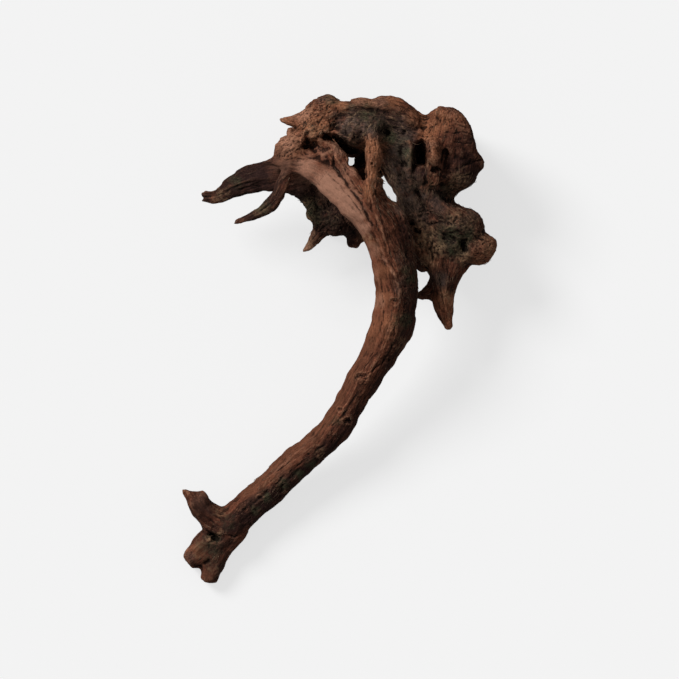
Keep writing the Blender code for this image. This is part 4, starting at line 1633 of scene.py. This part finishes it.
def laid_along(nodes, sizes, points):
    """The turn of each sliver: up from the skin, along the fibres, and a little to one side."""
    upright = {"Rotation": points["Rotation"], "Vector": stored(nodes, "fibre_way", "FLOAT_VECTOR")}
    aligned = nodes.add("FunctionNodeAlignRotationToVector", upright, axis="X", pivot_axis="Z")
    left = nodes.sums("MULTIPLY", sizes["Turn"], -1.0)
    aside = random_between(nodes, left, sizes["Turn"], sizes["Seed"])
    tilt = nodes.add("ShaderNodeCombineXYZ", {"Z": aside}).outputs[0]
    turn = nodes.add("FunctionNodeEulerToRotation", {0: tilt}).outputs[0]
    both = {"Rotation": aligned.outputs["Rotation"], "Rotate By": turn}
    return nodes.add("FunctionNodeRotateRotation", both, rotation_space="LOCAL").outputs["Rotation"]


def sliver_tree(finish):
    tree, nodes, sizes = group_with_inputs("slivers", SLIVER_SIZES)
    density = nodes.sums("MULTIPLY", stored(nodes, "frayed", "FLOAT"), sizes["Per square metre"])
    scatter = {"Mesh": sizes["Geometry"], "Density": density, "Seed": sizes["Seed"]}
    points = nodes.add("GeometryNodeDistributePointsOnFaces", scatter).outputs
    placing = {
        "Points": points["Points"],
        "Instance": bent_sliver(nodes, sizes),
        "Rotation": laid_along(nodes, sizes, points),
        "Scale": random_between(nodes, *SLIVER_SCALES, SCALE_SEED),
    }
    placed = nodes.add("GeometryNodeInstanceOnPoints", placing).outputs["Instances"]
    finished_shape(nodes, placed, finish)
    return tree


def grown(mesh, tree, sizes):
    """What a tree makes of a mesh, as a plain mesh. The inputs are set before the first evaluation."""
    holder = bpy.data.objects.new("holder", mesh)
    modifier = holder.modifiers.new("grown", "NODES")
    modifier.node_group = tree
    for item in tree.interface.items_tree:
        if item.in_out == "INPUT" and item.name in sizes:
            modifier[item.identifier] = sizes[item.name]
    bpy.context.scene.collection.objects.link(holder)
    bpy.context.view_layer.update()
    made = bpy.data.meshes.new_from_object(holder.evaluated_get(bpy.context.evaluated_depsgraph_get()))
    holder.modifiers.remove(modifier)
    bpy.data.objects.remove(holder)
    return made


def small_piece(name, mesh):
    """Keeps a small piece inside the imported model's box, and lets it ride on the wood."""
    mesh.name = name
    inside = np.clip(points_of(mesh), low, high)
    put_points(mesh, inside)
    mesh.shade_smooth()
    piece = bpy.data.objects.new(name, mesh)
    bpy.context.scene.collection.objects.link(piece)
    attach(piece, "root")
    mesh.calc_loop_triangles()
    print(f"{name}: {len(mesh.loop_triangles)} triangles")


small_piece("wood_slivers", grown(skin, sliver_tree(slivers_finish), SLIVER_SIZES))

# %% [markdown]
# ## Rootlets
#
# A few rootlets as thin as wire hang at the rim of the crescent hole and under the stubs. Each is a short
# broken line here, which starts on the skin. A second tree makes every line a tapering round root with a
# little noise in its course.

# %% Rootlets at the rims
# Each one: its thickness in millimetres, its drop for each millimetre of run, and its way in the view.
ROOTLETS = [
    (0.5, 0.9, [(28.4, 123), (30.2, 119.6), (30.6, 117.2), (32.6, 114.6)]),
    (0.4, 0.9, [(30.6, 122), (32.2, 119.4), (31.6, 116.4)]),
    (0.35, 0.6, [(27, 121), (28.6, 118.4), (27.8, 116.4)]),
    (0.5, 0.5, [(6.4, 75), (6, 71.6), (6.4, 69)]),
    (0.6, 0.5, [(9.6, 74), (9.8, 71), (10.6, 68.8)]),
    (0.45, 0.5, [(13, 75), (13.6, 72), (13.4, 70)]),
    (0.45, 0.8, [(61, 58), (61.6, 54.6), (62.6, 51.6)]),
    (0.35, 0.8, [(58.6, 58), (58.4, 55), (59.2, 53.4)]),
    (0.4, 0.6, [(-21, 100), (-24.4, 97), (-25, 94.6)]),
    (0.35, 0.6, [(-24, 106), (-27, 103.6), (-27.6, 101.6)]),
    (0.4, 0.3, [(-97, 110), (-101, 109.6), (-103.4, 110.2)]),
    (0.35, 0.3, [(0, 151), (4, 148.6), (7.4, 146.4), (9.6, 143.2)]),
    (0.35, 0.3, [(-2, 154), (3, 151), (7.6, 147)]),
    (0.3, 0.3, [(54, 148), (57.6, 146.4), (60.6, 147)]),
]
ROOTLET_SIZES = {"Thickness": 1.0, "Wriggle": 0.9 * MM, "Wriggle size": 380.0}
ROOTLET_SIDES = 6
ROOTLET_STEPS = 12
HIGHEST = 0.2


def rootlet_lines():
    """The broken lines as a mesh of edges, each started on the skin below the view."""
    shape = BVHTree.FromPolygons([tuple(p) for p in to_model(carved)], corners.tolist())
    points, edges, widths = [], [], []
    for thickness, drop, way in ROOTLETS:
        start = to_model(np.array([*way[0], 0.0]))
        hit = shape.ray_cast(Vector((start[0], start[1], HIGHEST)), Vector((0, 0, -1)))[0]
        if hit is None:
            print("no wood under the rootlet at", way[0])
            continue
        height = hit.z / MM - thickness
        for number, here in enumerate(way):
            if number:
                height -= drop * math.dist(way[number - 1], here)
                edges.append((len(points) - 1, len(points)))
            points.append(to_model(np.array([*here, height])).tolist())
            widths.append(thickness * MM / 2)
    mesh = bpy.data.meshes.new("rootlet_lines")
    mesh.from_pydata(points, edges, [])
    mesh.attributes.new("width", "FLOAT", "POINT").data.foreach_set("value", widths)
    return mesh


def rootlet_tree(finish):
    tree, nodes, sizes = group_with_inputs("rootlets", ROOTLET_SIZES)
    lines = nodes.add("GeometryNodeMeshToCurve", {"Mesh": sizes["Geometry"]}).outputs["Curve"]
    steps = {"Curve": lines, "Count": ROOTLET_STEPS}
    even = nodes.add("GeometryNodeResampleCurve", steps).outputs["Curve"]
    waves = nodes.add("ShaderNodeTexNoise", {"Scale": sizes["Wriggle size"]}).outputs["Color"]
    centred = {0: waves, 1: (0.5, 0.5, 0.5)}
    middle = nodes.add("ShaderNodeVectorMath", centred, operation="SUBTRACT").outputs[0]
    along = nodes.add("GeometryNodeSplineParameter").outputs["Factor"]
    reach = nodes.sums("MULTIPLY", nodes.sums("MULTIPLY", sizes["Wriggle"], 4.0), along)
    offset = nodes.add("ShaderNodeVectorMath", {0: middle, "Scale": reach}, operation="SCALE").outputs[0]
    bent = nodes.add("GeometryNodeSetPosition", {"Geometry": even, "Offset": offset}).outputs["Geometry"]
    width = nodes.sums("MULTIPLY", stored(nodes, "width", "FLOAT"), sizes["Thickness"])
    thick = nodes.sums("MULTIPLY", width, nodes.sums("SUBTRACT", 1.2, along))
    ring = {"Resolution": ROOTLET_SIDES, "Radius": 1.0}
    profile = nodes.add("GeometryNodeCurvePrimitiveCircle", ring).outputs["Curve"]
    tube = {"Curve": bent, "Profile Curve": profile, "Scale": thick, "Fill Caps": True}
    finished_shape(nodes, nodes.add("GeometryNodeCurveToMesh", tube).outputs["Mesh"], finish)
    return tree


rootlet_mesh = grown(rootlet_lines(), rootlet_tree(slivers_finish), ROOTLET_SIZES)
small_piece("wood_rootlets", rootlet_mesh)
bpy.data.meshes.remove(skin)

# %% [markdown]
# ## The floor
#
# The piece lies on a plain pale floor. The floor glows a little, so that it stays evenly pale with only a
# faint shadow, and it doesn't throw its glow back on the wood. A second, wider sheet lies lower down. It
# is seen only from low angles, where the view starts under the floor.

# %% Floor
# Each sheet: its name, half its width in metres, its depth below the piece, and its glow.
SHEETS = [("floor", 3.0, 0.0, 0.69), ("sheet", 9.0, 0.4, 0.88)]
PAPER_GREY = (0.2, 0.2, 0.2, 1)
PAPER_ROUGHNESS = 0.9


def pale_paper(name, glow):
    material = bpy.data.materials.new(name)
    material.use_nodes = True
    shader = material.node_tree.nodes["Principled BSDF"]
    shader.inputs["Base Color"].default_value = PAPER_GREY
    shader.inputs["Roughness"].default_value = PAPER_ROUGHNESS
    shader.inputs["Specular IOR Level"].default_value = 0.0
    shader.inputs["Emission Color"].default_value = (1, 1, 1, 1)
    shader.inputs["Emission Strength"].default_value = glow
    return material


for sheet_name, half, depth, glow in SHEETS:
    sheet_mesh = bpy.data.meshes.new(sheet_name)
    rim = [(-half, -half, -depth), (half, -half, -depth), (half, half, -depth), (-half, half, -depth)]
    sheet_mesh.from_pydata(rim, [], [(0, 1, 2, 3)])
    sheet_mesh.materials.append(pale_paper("pale_" + sheet_name, glow))
    sheet = bpy.data.objects.new(sheet_name, sheet_mesh)
    sheet.visible_diffuse = False
    sheet.visible_glossy = False
    bpy.context.scene.collection.objects.link(sheet)
print("sheets:", len(SHEETS))

# %% [markdown]
# ## The light
#
# A wide soft sun comes from the top left of the view, as the shading of the wood asks for. A white world
# fills the shadows. The plain Standard view keeps the tones of the wood as they are.

# %% Light
SUN_STRENGTH = 3.5
SUN_WIDTH = math.radians(22)
SUN_FROM = (-0.85, 0.75, 0.95)
FILL_STRENGTH = 0.32

sun_light = bpy.data.lights.new("soft_sun", "SUN")
sun_light.energy = SUN_STRENGTH
sun_light.angle = SUN_WIDTH
sun = bpy.data.objects.new("soft_sun", sun_light)
sun.rotation_euler = Vector(SUN_FROM).to_track_quat("Z", "Y").to_euler()
bpy.context.scene.collection.objects.link(sun)

world = bpy.data.worlds.new("studio")
world.use_nodes = True
backdrop = world.node_tree.nodes["Background"]
backdrop.inputs["Color"].default_value = (1, 1, 1, 1)
backdrop.inputs["Strength"].default_value = FILL_STRENGTH
bpy.context.scene.world = world
bpy.context.scene.view_settings.view_transform = "Standard"
print("sun from", SUN_FROM, "with strength", SUN_STRENGTH)

# %% [markdown]
# ## The camera
#
# The piece is seen from straight above, without perspective, so that a millimetre is the same length
# everywhere in the view.

# %% Camera
VIEW_WIDTH = 509.25 * MM
CAMERA_HEIGHT = 2.0
VIEW_CENTRE = np.array([-0.375, 0.375, 0.0])
camera_data = bpy.data.cameras.new("camera")
camera_data.type = "ORTHO"
camera_data.ortho_scale = VIEW_WIDTH
camera = bpy.data.objects.new("camera", camera_data)
camera.location = (*to_model(VIEW_CENTRE)[:2], CAMERA_HEIGHT)
bpy.context.scene.collection.objects.link(camera)
bpy.context.scene.camera = camera
print("camera sees", round(VIEW_WIDTH / MM), "mm")

# %% [markdown]
# ## The end
#
# The finished wood stays inside the imported model's box, because the carved skin and the small pieces were
# clipped to it above.

# %% Finish
print("scene built")
